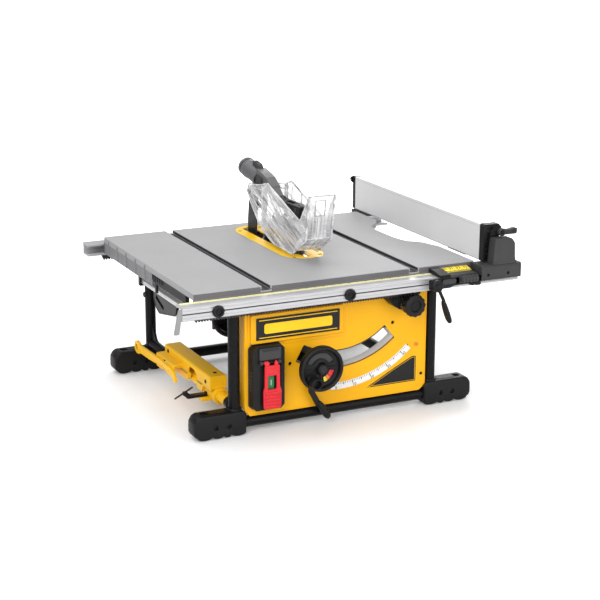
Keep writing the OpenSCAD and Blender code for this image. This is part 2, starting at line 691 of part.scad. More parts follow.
// rod along the sloping guard dust port, from its rear end
module port_rod(length, r, start = 0) {
  translate([15,240,478.5]) rotate([101.4,0,0]) translate([0,0,start])
    cylinder(h = length, r = r);
}
module guard_arm() part([0.3,0.3,0.31]) difference() {
  union() {
    port_rod(118, 19.8);
    port_rod(30, 22);
    slab_x(3, 27, [[74,457],[100,473],[140,483],[140,446],[90,440],[68,443]]);
    slab_x(4, 26, [[76,458],[70,442],[56,428],[40,420],[28,436],[50,436]]);
    slab_x(3, 27, [[58,440],[28,436],[-83,440],[-58,405],[-48,405],[-44,424],
      [40,420],[62,432],[70,446]]);
    // cheeks either side of the riving knife
    for (x = [[7,13.8],[16.4,23]])
      slab_x(x[0], x[1], [[120,466],[200,480],[206,440],[190,426],[140,424]]);
    slab_x(10, 20, [[154,478],[192,486],[192,500],[160,496.5],[154,490]]);
    rod_x(-20, 46, guard_y, guard_z, 4);
  }
  port_rod(105, guard_port_id/2, start = -1);
  slab_x(6, 24, [[84,456],[102,466],[132,474],[134,442],[88,436]]);
  box([13.8,172,400],[16.4,240,446.4]);
  slab_x(11, 19, [[-40,435],[-66,436],[-54,412],[-48,430]]);
}
module shield_link() part(grey(0.15)) difference() {
  union() {
    rod_x(-12.4, -8.4, guard_y, guard_z, 13);
    slab_x(-12.4, -8.4,
      [[152,449.5],[84,428],[76,416],[82,404],[94,402],[158,426.5]]);
  }
  rod_x(-30, 0, guard_y, guard_z, 4+run_gap);
  slab_x(-14, -6, [[130,434],[96,421],[92,414],[98,411],[132,425]]);
}
// left shield, X from the blade plane; the front strips reach in to inner_x
module shield(inner_x) {
  ear_x = -27.6;
  outer_x = -36;
  union() {
    slab_x(ear_x-3.2, ear_x, [[guard_y+20,438],[guard_y+8,456],[guard_y-20,456],[66,468],
      [60,440],[66,366],[89,364],[114,377],[guard_y+4,413]]);
    slab_x(outer_x, -33, [[74,467],[46,475],[-116,424],[-128,424],[-172,484],[-176,484],
      [-156,380],[-104,348],[-90,337.5],[12,340.5],[76,360]]);
    box([outer_x,66,372],[ear_x,72,462]);
    slab_x(outer_x, inner_x, [[-169,484],[-172,484],[-154,384],[-151,384]]);
    slab_x(outer_x, inner_x, [[-152,384],[-155,384],[-106,349],[-103,350]]);
  }
}
module shield_left() part(clear) difference() {
  translate([bevel_x,0,0]) shield(-4);
  rod_x(-40, 10, guard_y, guard_z, 4+run_gap);
}
module shield_right() part(clear) difference() {
  translate([bevel_x-7,0,0]) mirror([1,0,0]) shield(-3.4);
  rod_x(20, 60, guard_y, guard_z, 4+run_gap);
}

table_top();
throat_plate();
front_panel();
blank_plates();
bevel_scale();
slot_rim();
roll_cage();
feet();
foot_screws();
rail_guides();
scale_cover();
knob_housing();
trunnions();
switch_box();
storage_bracket();
wrenches();
gauge_holder();
power_cord();
front_rail();
rear_rail();
rail_racks();
rail_scale();
locator_screws();
fence_carrier();
rail_end_stop();
pinion_shaft();
rail_pinions();
adjust_knob();
rail_lock_lever();
fence_beam();
fence_head();
fence_tail();
fence_latch_front();
fence_latch_rear();
tilt_bracket();
lift_posts();
blade_shroud();
bevel_lock_lever();
handwheel();
wheel_axle();
crank_grip();
lift_screw();
lift_carriage();
arbor_housing();
motor_housing();
armature();
arbor();
blade();
blade_clamp();
riving_knife();
knife_lock();
guard_arm();
shield_link();
shield_left();
shield_right();
start_button();
stop_paddle();
push_stick();
mitre_bar();
mitre_head();
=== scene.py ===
# A table saw on a tubular cage stand: table, yellow front panel, fence on rails, clear blade
# guard and the tools stored on its left side.
# All shapes are written in millimetres: X runs right, Y runs back, Z runs up from the floor,
# and X = Y = 0 is the centre of the table. scene_point() moves them to the scene, in metres.
import json
from math import acos, atan2, cos, pi, radians, sin, tan

import bmesh
import bpy
from mathutils import Matrix, Vector

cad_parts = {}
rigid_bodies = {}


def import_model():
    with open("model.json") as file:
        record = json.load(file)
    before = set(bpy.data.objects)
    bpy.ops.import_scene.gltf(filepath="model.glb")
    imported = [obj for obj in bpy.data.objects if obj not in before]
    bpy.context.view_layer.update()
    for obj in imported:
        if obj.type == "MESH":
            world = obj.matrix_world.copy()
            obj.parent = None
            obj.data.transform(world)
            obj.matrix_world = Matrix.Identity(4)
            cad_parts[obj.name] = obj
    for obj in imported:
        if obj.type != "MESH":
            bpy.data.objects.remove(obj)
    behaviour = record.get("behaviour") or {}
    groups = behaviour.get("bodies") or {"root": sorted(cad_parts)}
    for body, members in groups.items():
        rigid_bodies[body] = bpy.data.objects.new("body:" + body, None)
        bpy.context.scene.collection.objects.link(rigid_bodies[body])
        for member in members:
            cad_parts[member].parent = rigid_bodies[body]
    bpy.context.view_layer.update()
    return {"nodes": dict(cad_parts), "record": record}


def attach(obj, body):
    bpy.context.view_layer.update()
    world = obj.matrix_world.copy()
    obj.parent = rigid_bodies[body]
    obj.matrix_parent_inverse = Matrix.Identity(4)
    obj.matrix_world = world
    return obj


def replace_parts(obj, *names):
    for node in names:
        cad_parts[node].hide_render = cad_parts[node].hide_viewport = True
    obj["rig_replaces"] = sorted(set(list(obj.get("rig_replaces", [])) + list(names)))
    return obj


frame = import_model()
NODES = frame["nodes"]
RECORD = frame["record"]
BODY = {node: body for body, nodes in RECORD["behaviour"]["bodies"].items() for node in nodes}

# ------------------------------------------------------------------ shared places, mm
BASE_CENTRE = (10.5, 11.0)          # scene origin, measured from the table centre
LEFT, RIGHT = (-1, 0, 0), (1, 0, 0)
FRONT, BACK = (0, -1, 0), (0, 1, 0)
UP, DOWN = (0, 0, 1), (0, 0, -1)

SLOT_X = (-170.5, 181.5)            # the two long slots in the table
TUBE_X = (-228, 249)                # cage tube centres, left and right
TUBE_Y = (-240, 262)                # front and back
TUBE_LEFT, TUBE_BACK = TUBE_X[0], TUBE_Y[1]
TUBE_CORNERS = [(x, y) for x in TUBE_X for y in TUBE_Y]
TUBE_RADIUS = 12.5
SIDE_TUBE_Z = 62
RAIL_Y, RAIL_Z = 318, 300           # outer face of either rail, and its middle height

# Centres seen from the front, as (x, z)
TILT = (15.0, 330.0)                # what the blade tilts about
WHEEL_RADIUS, WHEEL_ANGLE = 200, radians(21.5)
WHEEL = (TILT[0] - WHEEL_RADIUS * sin(WHEEL_ANGLE), TILT[1] - WHEEL_RADIUS * cos(WHEEL_ANGLE))
CRANK = (WHEEL[0] - 22, WHEEL[1] - 25)
KNOB = (168, 254)
RAIL_LOCK = (201.5, 303.0)
FENCE_LATCH = (383, 396)
# Centres seen from the side, as (y, z)
ARBOR = (30, 282)
GUARD_PIVOT = (150, 437)


def scene_point(x, y, z):
    return Vector(((x - BASE_CENTRE[0]) / 1000, (y - BASE_CENTRE[1]) / 1000, z / 1000))


def add_object(name, data):
    ob = bpy.data.objects.new(name, data)
    bpy.context.scene.collection.objects.link(ob)
    return ob


# ------------------------------------------------------------------ materials
# colour, roughness, metallic, grain scale, grain bump strength, colour drift, roughness drift,
# specular level
FINISHES = {
    "table_grey": ((0.335, 0.335, 0.338), 0.58, 0.0, 1700, 0.08, 0.03, 0.06, 0.25),
    "table_side": ((0.20, 0.20, 0.205), 0.50, 0.1, 1300, 0.15, 0.06, 0.08, 0.3),
    # table_edge is the table grey darkened: painted shade on the table's front face
    "table_edge": ((0.13, 0.125, 0.14), 0.55, 0.0, 1300, 0.12, 0.08, 0.08, 0.25),
    # slot_dark paints shade: inside the table's slots and in the recesses under its left edge
    "slot_dark": ((0.045, 0.045, 0.048), 0.6, 0.0, 900, 0.1, 0.1, 0.08, 0.2),
    "yellow_plastic": ((0.86, 0.425, 0.004), 0.42, 0, 1500, 0.08, 0.025, 0.06, 0.22),
    "yellow_plate": ((1.0, 0.60, 0.010), 0.36, 0, 900, 0.05, 0.03, 0.05, 0.25),
    "yellow_soft": ((1.0, 0.55, 0.012), 0.36, 0, 900, 0.05, 0.05, 0.06, 0.25),
    "black_tube": ((0.003, 0.003, 0.0032), 0.38, 0, 700, 0.03, 0.2, 0.05, 0.16),
    "black_plastic": ((0.006, 0.006, 0.0065), 0.46, 0, 1600, 0.12, 0.2, 0.08, 0.25),
    "dark_grey_plastic": ((0.042, 0.042, 0.043), 0.50, 0, 1400, 0.14, 0.15, 0.08, 0.25),
    "duct_grey": ((0.115, 0.115, 0.118), 0.42, 0, 1400, 0.08, 0.12, 0.08, 0.3),
    "flap_grey": ((0.045, 0.045, 0.047), 0.42, 0, 1200, 0.08, 0.1, 0.06, 0.25),
    "label_black": ((0.005, 0.005, 0.005), 0.34, 0, 500, 0.02, 0.2, 0.05, 0.3),
    "label_white": ((0.80, 0.80, 0.79), 0.40, 0, 500, 0.02, 0.03, 0.05, 0.3),
    "label_yellow": ((0.90, 0.70, 0.06), 0.40, 0, 500, 0.02, 0.05, 0.05, 0.3),
    "tape_pale": ((0.95, 0.90, 0.50), 0.42, 0, 500, 0.02, 0.05, 0.05, 0.3),
    "ink": ((0.012, 0.012, 0.012), 0.5, 0, 500, 0.02, 0.1, 0.05, 0.2),
    "rail_aluminium": ((0.50, 0.50, 0.51), 0.36, 0.45, 1200, 0.08, 0.03, 0.07, 0.4),
    "stop_grey": ((0.27, 0.27, 0.275), 0.40, 0.3, 1200, 0.08, 0.03, 0.07, 0.35),
    "fence_aluminium": ((0.74, 0.74, 0.745), 0.50, 0.12, 1200, 0.05, 0.025, 0.06, 0.35),
    "steel": ((0.50, 0.50, 0.52), 0.30, 1.0, 900, 0.12, 0.06, 0.10, 0.5),
    "cast_grey": ((0.30, 0.30, 0.31), 0.5, 0.6, 500, 0.35, 0.08, 0.10, 0.5),
    "blade_steel": ((0.50, 0.50, 0.52), 0.28, 1.0, 900, 0.12, 0.06, 0.08, 0.5),
    "knife_black": ((0.012, 0.012, 0.013), 0.40, 0.1, 900, 0.08, 0.2, 0.08, 0.3),
    "motor_grey": ((0.05, 0.05, 0.053), 0.45, 0, 1200, 0.15, 0.1, 0.08, 0.3),
    "copper_iron": ((0.33, 0.22, 0.15), 0.45, 0.8, 700, 0.2, 0.15, 0.1, 0.5),
    "red_plastic": ((0.66, 0.018, 0.028), 0.38, 0, 1200, 0.06, 0.05, 0.05, 0.3),
    "green_plastic": ((0.018, 0.17, 0.055), 0.34, 0, 900, 0.05, 0.06, 0.05, 0.4),
    "cord_rubber": ((0.008, 0.008, 0.008), 0.55, 0, 1200, 0.15, 0.2, 0.08, 0.25),
    "orange_mark": ((0.80, 0.22, 0.03), 0.4, 0, 900, 0.04, 0.05, 0.05, 0.5),
    # clear_line draws the wing's clear rims and bars in opaque grey: painted reflections along
    # their edges
    "clear_line": ((0.36, 0.36, 0.37), 0.25, 0.0, 900, 0.3, 0.25, 0.06, 0.5),
}
# Worn edges: amount, colour
WEAR = {
    "table_grey": (0.2, (0.5, 0.5, 0.51)),
    "yellow_plastic": (0.12, (1.0, 0.62, 0.05)),
    "yellow_plate": (0.15, (1.0, 0.62, 0.05)),
    "black_tube": (0.15, (0.04, 0.04, 0.04)),
    "black_plastic": (0.15, (0.06, 0.06, 0.06)),
    "dark_grey_plastic": (0.15, (0.09, 0.09, 0.09)),
    "duct_grey": (0.15, (0.15, 0.15, 0.15)),
    "knife_black": (0.2, (0.12, 0.12, 0.12)),
    "red_plastic": (0.15, (0.9, 0.2, 0.2)),
}
# Brushed metals: grain scale along X, Y, Z
BRUSHED = {
    "rail_aluminium": (0.015, 1, 1), "stop_grey": (1, 1, 0.015), "fence_aluminium": (1, 0.012, 1),
    "steel": (1, 1, 0.1), "blade_steel": (1, 1, 0.05),
}
# roughness; opacity in the clear, dark and bright streaks, the streaks being painted dark
# reflections and painted highlights; extra opacity at grazing angles, a painted sheen; tilt of
# the streaks in degrees
CLEAR_FINISHES = {
    "clear_plastic": (0.18, 0.26, 0.46, 0.56, 0.20, -19),
    # clear_edge, for rims and ribs, is the same plastic more opaque: painted highlights along
    # their edges
    "clear_edge": (0.16, 0.62, 0.70, 0.85, 0.30, -19),
    "clear_wing": (0.18, 0.40, 0.50, 0.58, 0.25, 80),
}
# Materials whose data name isn't "mat_" and their key
SHORT_NAMES = {
    "table_grey": "table", "rail_aluminium": "rail_alu", "stop_grey": "stop_grey",
    "fence_aluminium": "fence_alu", "cast_grey": "cast", "blade_steel": "blade",
    "knife_black": "knife", "motor_grey": "motor", "copper_iron": "rotor", "red_plastic": "red",
    "green_plastic": "green", "cord_rubber": "cord", "orange_mark": "orange",
    "clear_plastic": "clear",
}
SHORT_NAMES.pop("stop_grey")


def grey(value):
    return (value, value, value, 1)


BLACK, WHITE = grey(0), grey(1)


def feed(tree, node, inputs):
    """Sets each input to a plain value, or links it to the output given for it."""
    for socket, value in inputs.items():
        if isinstance(value, bpy.types.NodeSocket):
            tree.links.new(value, node.inputs[socket])
        else:
            node.inputs[socket].default_value = value


def add_node(tree, kind, inputs, **settings):
    node = tree.nodes.new("ShaderNode" + kind)
    for name, value in settings.items():
        setattr(node, name, value)
    feed(tree, node, inputs)
    return node


def maths(tree, operation, first, second, **settings):
    node = add_node(tree, "Math", {0: first, 1: second}, operation=operation, **settings)
    return node.outputs[0]


def noise(tree, scale, detail, roughness=0.6, stretch=(1, 1, 1), tilt=None):
    vector = add_node(tree, "TexCoord", {}).outputs["Object"]
    if tilt is not None:
        turn = {"Vector": vector, "Rotation": (radians(tilt), 0, 0)}
        vector = add_node(tree, "Mapping", turn).outputs["Vector"]
    mapping = add_node(tree, "Mapping", {"Vector": vector, "Scale": stretch})
    return add_node(tree, "TexNoise", {
        "Vector": mapping.outputs["Vector"], "Scale": scale, "Detail": detail,
        "Roughness": roughness}).outputs["Fac"]


def ramp(tree, source, *stops):
    """A colour ramp; stops are (position, colour) in rising order."""
    node = add_node(tree, "ValToRGB", {"Fac": source})
    elements = node.color_ramp.elements
    for element, (position, colour) in zip(elements, (stops[0], stops[-1])):
        element.position = position
        element.color = colour
    for position, colour in stops[1:-1]:
        elements.new(position).color = colour
    return node.outputs["Color"]


def bump(tree, height, strength, distance, **normal):
    return add_node(tree, "Bump", {
        "Height": height, "Strength": strength, "Distance": distance, **normal}).outputs["Normal"]


def new_material(name):
    material = bpy.data.materials.new("mat_" + name)
    material.use_nodes = True
    tree = material.node_tree
    return material, tree, tree.nodes["Principled BSDF"]


def worn(tree, colour, amount, wear_colour):
    """Shows the wear colour in patches along the sharp edges."""
    geometry = add_node(tree, "NewGeometry", {})
    edges = ramp(tree, geometry.outputs["Pointiness"], (0.515, BLACK), (0.60, WHITE))
    speckle = noise(tree, scale=160, detail=5, roughness=0.7)
    patches = ramp(tree, speckle, (0.42, BLACK), (0.62, WHITE))
    both = maths(tree, "MULTIPLY", edges, patches)
    factor = maths(tree, "MULTIPLY", both, amount)
    return add_node(tree, "Mix", {"Factor": factor, "A": colour, "B": (*wear_colour, 1)},
                    data_type="RGBA").outputs["Result"]


def surface(key):
    """An opaque finish with drifting colour, uneven roughness and a fine grain."""
    (colour, roughness, metallic, grain, bump_strength, colour_drift, rough_drift,
     specular) = FINISHES[key]
    material, tree, shader = new_material(SHORT_NAMES.get(key, key))
    darker = [value * (1 - colour_drift) for value in colour] + [1]
    lighter = [min(1, value * (1 + colour_drift)) for value in colour] + [1]
    base = ramp(tree, noise(tree, scale=9, detail=3), (0.3, darker), (0.7, lighter))
    if key in WEAR:
        base = worn(tree, base, *WEAR[key])
    stretch = BRUSHED.get(key, (1, 1, 1))
    fine = noise(tree, grain, detail=3, stretch=stretch)
    coarse = noise(tree, grain / 12, detail=4, stretch=stretch)
    uneven = add_node(tree, "MapRange", {
        "Value": coarse, "To Min": roughness - rough_drift, "To Max": roughness + rough_drift})
    feed(tree, shader, {
        "Base Color": base, "Roughness": uneven.outputs["Result"], "Metallic": metallic,
        "Specular IOR Level": specular,
        "Normal": bump(tree, fine, bump_strength, distance=0.0002)})
    return material


def clear_surface(key):
    """Clear moulded plastic whose light and dark streaks are painted highlights and painted dark
    reflections, with a painted sheen that makes it more opaque at grazing angles.
    """
    roughness, clear, dark, bright, edge, tilt = CLEAR_FINISHES[key]
    material, tree, shader = new_material(SHORT_NAMES.get(key, key))
    # The streaks paint highlights and dark reflections on the clear plastic
    reflection_streaks = noise(tree, scale=95, detail=4, roughness=0.62, stretch=(1, 0.11, 1), tilt=tilt)
    colour = ramp(tree, reflection_streaks, (0.36, (0.32, 0.32, 0.325, 1)), (0.44, (0.76, 0.76, 0.77, 1)),
                  (0.64, WHITE))
    opacity = ramp(tree, reflection_streaks, (0.34, grey(dark)), (0.42, grey(clear)), (0.54, grey(clear)),
                   (0.66, grey(bright)))
    # More opacity at grazing angles: a painted sheen
    facing = add_node(tree, "LayerWeight", {"Blend": 0.3}).outputs["Facing"]
    grazing_sheen = maths(tree, "MULTIPLY", facing, edge)
    ripples = noise(tree, scale=420, detail=3)
    streak_bump = bump(tree, reflection_streaks, strength=0.2, distance=0.001)
    feed(tree, shader, {
        "Base Color": colour, "Roughness": roughness, "IOR": 1.49,
        "Alpha": maths(tree, "ADD", opacity, grazing_sheen, use_clamp=True),
        "Normal": bump(tree, ripples, strength=0.06, distance=0.0003, Normal=streak_bump)})
    return material


MATERIALS = {key: surface(key) for key in FINISHES}
MATERIALS.update({key: clear_surface(key) for key in CLEAR_FINISHES})


# ------------------------------------------------------------------ outlines
def circle(centre, radius, n):
    return [(centre[0] + radius * cos(2 * pi * k / n), centre[1] + radius * sin(2 * pi * k / n))
            for k in range(n)]


def rounded(points, radius, n=4):
    """Rounds a polygon's corners, by one radius or one for each corner."""
    outline = []
    for i in range(len(points)):
        size = radius[i] if isinstance(radius, list) else radius
        corner = Vector(points[i])
        before = Vector(points[i - 1]) - corner
        after = Vector(points[(i + 1) % len(points)]) - corner
        before_length, after_length = before.length, after.length
        if size <= 0 or before_length < 1e-6 or after_length < 1e-6:
            outline.append(tuple(corner))
            continue
        before.normalize()
        after.normalize()
        angle = acos(max(-1, min(1, before.dot(after))))
        if angle > pi - 0.02:
            outline.append(tuple(corner))
            continue
        trim = min(size / tan(angle / 2), before_length * 0.48, after_length * 0.48)
        start, end = corner + before * trim, corner + after * trim
        for k in range(n + 1):
            t = k / n
            outline.append(tuple(start * (1 - t) ** 2 + corner * 2 * t * (1 - t) + end * t ** 2))
    return outline


def grow(points, distance):
    """Moves each side of a polygon outward; a negative distance moves it inward."""
    n, outline = len(points), []
    area = sum(points[i][0] * points[(i + 1) % n][1] - points[(i + 1) % n][0] * points[i][1]
               for i in range(n))
    side = 1 if area > 0 else -1
    for i in range(n):
        corner = Vector(points[i])
        before = corner - Vector(points[i - 1])
        after = Vector(points[(i + 1) % n]) - corner
        if before.length < 1e-7 or after.length < 1e-7:
            outline.append(tuple(corner))
            continue
        normal = Vector((before.y, -before.x)).normalized() * side
        middle = normal + Vector((after.y, -after.x)).normalized() * side
        if middle.length < 1e-6:
            outline.append(tuple(corner + normal * distance))
            continue
        middle.normalize()
        outline.append(tuple(corner + middle * (distance / max(0.35, middle.dot(normal)))))
    return outline


def clip(points, origin, direction):
    """The stretches of a line, as pairs of distances, that lie inside a polygon."""
    crossings = []
    for i in range(len(points)):
        start = Vector(points[i])
        edge = Vector(points[(i + 1) % len(points)]) - start
        cross = direction[0] * edge.y - direction[1] * edge.x
        if abs(cross) < 1e-9:
            continue
        offset_x, offset_y = start.x - origin[0], start.y - origin[1]
        if 0 <= (offset_x * direction[1] - offset_y * direction[0]) / cross < 1:
            crossings.append((offset_x * edge.y - offset_y * edge.x) / cross)
    crossings.sort()
    return list(zip(crossings[::2], crossings[1::2]))


def tilt_point(radius, degrees):
    """A point about the tilt centre; angles run from straight down towards the right."""
    angle = radians(degrees)
    return (TILT[0] + radius * sin(angle), TILT[1] - radius * cos(angle))


def wheel_point(radius, degrees):
    """A point about the handwheel; angles run from +X towards +Z."""
    angle = radians(degrees)
    return (WHEEL[0] + radius * cos(angle), WHEEL[1] + radius * sin(angle))


def arc_band(place, inner, outer, start, end, n):
    return ([place(outer, start + (end - start) * i / n) for i in range(n + 1)]
            + [place(inner, end + (start - end) * i / n) for i in range(n + 1)])


def tilt_band(inner, outer, start, end, n=60):
    return arc_band(tilt_point, inner, outer, start, end, n)


def wheel_band(inner, outer, start, end, n=20):
    return arc_band(wheel_point, inner, outer, start, end, n)


def at_y(centre, y):
    return (centre[0], y, centre[1])


# ------------------------------------------------------------------ solids
class Part:
    """A mesh gathered from simple solids. Outlines across axis X are (y, z), across Y (x, z)
    and across Z (x, y)."""

    def __init__(self):
        self.bm = bmesh.new()

    def loop(self, axis, along, points):
        place = {"X": lambda u, w: (along, u, w), "Y": lambda u, w: (u, along, w),
                 "Z": lambda u, w: (u, w, along)}[axis]
        return [self.bm.verts.new(scene_point(*place(u, w))) for u, w in points]

    def skin(self, rows, closed=False):
        """Joins rows of points with faces; closed also joins the last row to the first."""
        pairs = list(zip(rows, rows[1:]))
        if closed:
            pairs.append((rows[-1], rows[0]))
        for low, high in pairs:
            for k in range(len(low)):
                j = (k + 1) % len(low)
                # a row at a pole repeats one point, which a face may hold only once
                self.bm.faces.new(list(dict.fromkeys((low[k], low[j], high[j], high[k]))))

    def tube(self, rows):
        self.skin(rows)
        self.bm.faces.new(rows[0][::-1])
        self.bm.faces.new(rows[-1])
        return self

    def solid(self, first, last):
        self.bm.faces.new(first[::-1])
        self.bm.faces.new(last)
        self.skin([first, last])
        return self

    def prism(self, axis, start, end, points):
        return self.solid(self.loop(axis, start, points), self.loop(axis, end, points))

    def box(self, low, high):
        (x0, y0, z0), (x1, y1, z1) = low, high
        return self.prism("Z", z0, z1, [(x0, y0), (x1, y0), (x1, y1), (x0, y1)])

    def pad(self, axis, start, end, u0, u1, w0, w1, radius, n=4):
        """A box whose outline across the axis has round corners."""
        points = []
        for u, w, turn in ((u1 - radius, w1 - radius, 0), (u0 + radius, w1 - radius, 90),
                           (u0 + radius, w0 + radius, 180), (u1 - radius, w0 + radius, 270)):
            for k in range(n + 1):
                angle = radians(turn + 90 * k / n)
                points.append((u + radius * cos(angle), w + radius * sin(angle)))
        return self.prism(axis, start, end, points)

    def turned(self, axis, centre, profile, n):
        """Turns a closed profile of (place along the axis, radius)."""
        rows = [self.loop(axis, along, circle(centre, radius, n)) for along, radius in profile]
        self.skin(rows, closed=True)
        return self

    def cylinder(self, axis, centre, start, end, radius, end_radius=None, n=40, chamfer=0.0):
        end_radius = radius if end_radius is None else end_radius
        profile = [(start, radius), (end, end_radius)]
        if chamfer:
            profile = [(start, radius - chamfer), (start + chamfer, radius),
                       (end - chamfer, end_radius), (end, end_radius - chamfer)]
        rows = [self.loop(axis, along, circle(centre, size, n)) for along, size in profile]
        self.skin(rows)
        self.bm.faces.new(rows[0])
        self.bm.faces.new(rows[-1])
        return self

    def lathe(self, origin, direction, profile, n=48):
        """Turns a profile of (distance along, radius) about any line. A profile that doesn't
        end on the line is closed back to its start."""
        direction = Vector(direction).normalized()
        side = direction.orthogonal().normalized()
        across = direction.cross(side)
        rows = []
        for along, radius in profile:
            centre = Vector(origin) + direction * along
            if radius == 0:
                rows.append([self.bm.verts.new(scene_point(*centre))] * n)
                continue
            rows.append([self.bm.verts.new(scene_point(*(
                centre + side * radius * cos(2 * pi * k / n)
                + across * radius * sin(2 * pi * k / n)))) for k in range(n)])
        self.skin(rows, closed=profile[-1][1] > 0)
        return self

    def screw(self, centre, direction, radius, height=1.6):
        """A pan head with a round socket, standing proud of the centre."""
        return self.lathe(centre, direction, [
            (0, 0), (0, radius), (height * 0.55, radius), (height * 0.9, radius * 0.86),
            (height, radius * 0.62), (height, radius * 0.48), (height * 0.1, radius * 0.46),
            (height * 0.1, 0)], 32)

    def sweep(self, path, radii, n=20, flat=None):
        """Sweeps an ellipse along a path: radii are sideways, flat the other way."""
        if not isinstance(radii, list):
            radii = [radii] * len(path)
        flat = flat or radii
        points = [scene_point(*place) for place in path]
        rows, up = [], None
        for i, point in enumerate(points):
            ahead = (points[min(i + 1, len(points) - 1)] - points[max(i - 1, 0)]).normalized()
            if up is None:
                up = Vector(UP) if abs(ahead.z) < 0.9 else Vector(RIGHT)
            side = ahead.cross(up).normalized()
            up = side.cross(ahead).normalized()
            rows.append([self.bm.verts.new(point + (
                side * cos(2 * pi * k / n) * radii[i]
                + up * sin(2 * pi * k / n) * flat[i]) / 1000) for k in range(n)])
        return self.tube(rows)

    def rim(self, axis, start, end, points, width):
        """A closed band that follows a polygon, its width inward."""
        inner = grow(points, -width)
        rows = [self.loop(axis, along, outline) for along, outline in
                ((start, points), (end, points), (end, inner), (start, inner))]
        self.skin(rows, closed=True)
        return self

    def rib(self, x0, x1, start, end, width):
        """A straight bar between two (y, z) points."""
        start, end = Vector(start), Vector(end)
        ahead = (end - start).normalized()
        half = Vector((-ahead.y, ahead.x)) * width / 2
        return self.prism("X", x0, x1, [tuple(start + half), tuple(end + half),
                                        tuple(end - half), tuple(start - half)])

    def pillow(self, middle, half, points, soft):
        """A block along Y whose outline shrinks in a curve over the last soft mm at each end."""
        us, ws = zip(*points)
        u_mid, w_mid = (min(us) + max(us)) / 2, (min(ws) + max(ws)) / 2
        rows = []
        for k in (-6, -5, -4, -3, -2, -1, 1, 2, 3, 4, 5, 6):
            angle = abs(k) / 6 * pi / 2
            along = half - soft * (1 - sin(angle))
            inset = soft * (1 - cos(angle))
            u_scale = 1 - 2 * inset / (max(us) - min(us))
            w_scale = 1 - 2 * inset / (max(ws) - min(ws))
            rows.append(self.loop("Y", middle + (-along if k < 0 else along), [
                (u_mid + (u - u_mid) * u_scale, w_mid + (w - w_mid) * w_scale)
                for u, w in points]))
        return self.tube(rows)

    def text(self, words, centre, across, up, size, depth):
        """Adds plain digits about a centre; across and up are their directions."""
        curve = bpy.data.curves.new("t", "FONT")
        curve.body = words
        curve.size = 1
        curve.align_x = "CENTER"
        curve.align_y = "CENTER"
        curve.extrude = depth / size / 2
        curve.resolution_u = 3
        ob = add_object("t", curve)
        depsgraph = bpy.context.evaluated_depsgraph_get()
        mesh = bpy.data.meshes.new_from_object(ob.evaluated_get(depsgraph))
        bpy.data.objects.remove(ob)
        bpy.data.curves.remove(curve)
        across, up = Vector(across).normalized(), Vector(up).normalized()
        out = across.cross(up)
        scale = size / 1000
        place = scene_point(*centre)
        rows = [(across[i] * scale, up[i] * scale, out[i] * scale, place[i]) for i in range(3)]
        mesh.transform(Matrix((*rows, (0, 0, 0, 1))))
        self.bm.from_mesh(mesh)
        bpy.data.meshes.remove(mesh)

    def to_object(self, name):
        bmesh.ops.recalc_face_normals(self.bm, faces=self.bm.faces)
        mesh = bpy.data.meshes.new(name)
        self.bm.to_mesh(mesh)
        self.bm.free()
        return add_object(name, mesh)

    def finish(self, name, *looks, cut=(), **options):
        """Makes the object, cuts other parts out of it and passes the rest to dress()."""
        ob = self.to_object(name)
        for cutter in cut:
            subtract(ob, cutter)
        dress(ob, *looks, **options)


def dress(ob, material, body, bevel=0.8, segments=2, angle=32, replaces=None, subdivide=0,
          sharp=32):
    """Gives an object its material, shading, edge rounding (bevel in mm, angles in degrees)
    and its entries in the frame."""
    mesh = ob.data
    mesh.materials.clear()
    mesh.materials.append(MATERIALS[material])
    for face in mesh.polygons:
        face.use_smooth = True
        face.material_index = 0
    mesh.set_sharp_from_angle(angle=radians(sharp))
    if bevel > 0:
        modifier = ob.modifiers.new("bevel", "BEVEL")
        modifier.width = bevel / 1000
        modifier.segments = segments
        modifier.limit_method = "ANGLE"
        modifier.angle_limit = radians(angle)
        modifier.harden_normals = True
        modifier.use_clamp_overlap = True
        modifier.miter_outer = "MITER_ARC"
    if subdivide:
        modifier = ob.modifiers.new("subd", "SUBSURF")
        modifier.levels = subdivide
        modifier.render_levels = subdivide
    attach(ob, body)
    if replaces:
        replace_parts(ob, replaces)


def subtract(ob, part):
    cutter = part.to_object("cut")
    cutter_mesh = cutter.data
    modifier = ob.modifiers.new("b", "BOOLEAN")
    modifier.operation = "DIFFERENCE"
    modifier.object = cutter
    modifier.solver = "EXACT"
    depsgraph = bpy.context.evaluated_depsgraph_get()
    result = bpy.data.meshes.new_from_object(ob.evaluated_get(depsgraph))
    ob.modifiers.remove(modifier)
    old = ob.data
    ob.data = result
    bpy.data.objects.remove(cutter)
    bpy.data.meshes.remove(cutter_mesh)
    bpy.data.meshes.remove(old)


def plate(axis, start, end, points):
    return Part().prism(axis, start, end, points)


def hole(axis, centre, start, end, radius, end_radius=None):
    return Part().cylinder(axis, centre, start, end, radius, end_radius)


def refine(node, material, bevel, segments=2):
    """Keeps a CAD node's exact shape, with its triangles merged and its edges rounded."""
    bm = bmesh.new()
    bm.from_mesh(NODES[node].data)
    bmesh.ops.remove_doubles(bm, verts=bm.verts, dist=2e-6)
    bmesh.ops.dissolve_limit(bm, angle_limit=radians(0.5), verts=bm.verts, edges=bm.edges)
    mesh = bpy.data.meshes.new(node + "_fine")
    bm.to_mesh(mesh)
    bm.free()
    dress(add_object(node + "_fine", mesh), material, BODY[node], bevel, segments, 30, node)


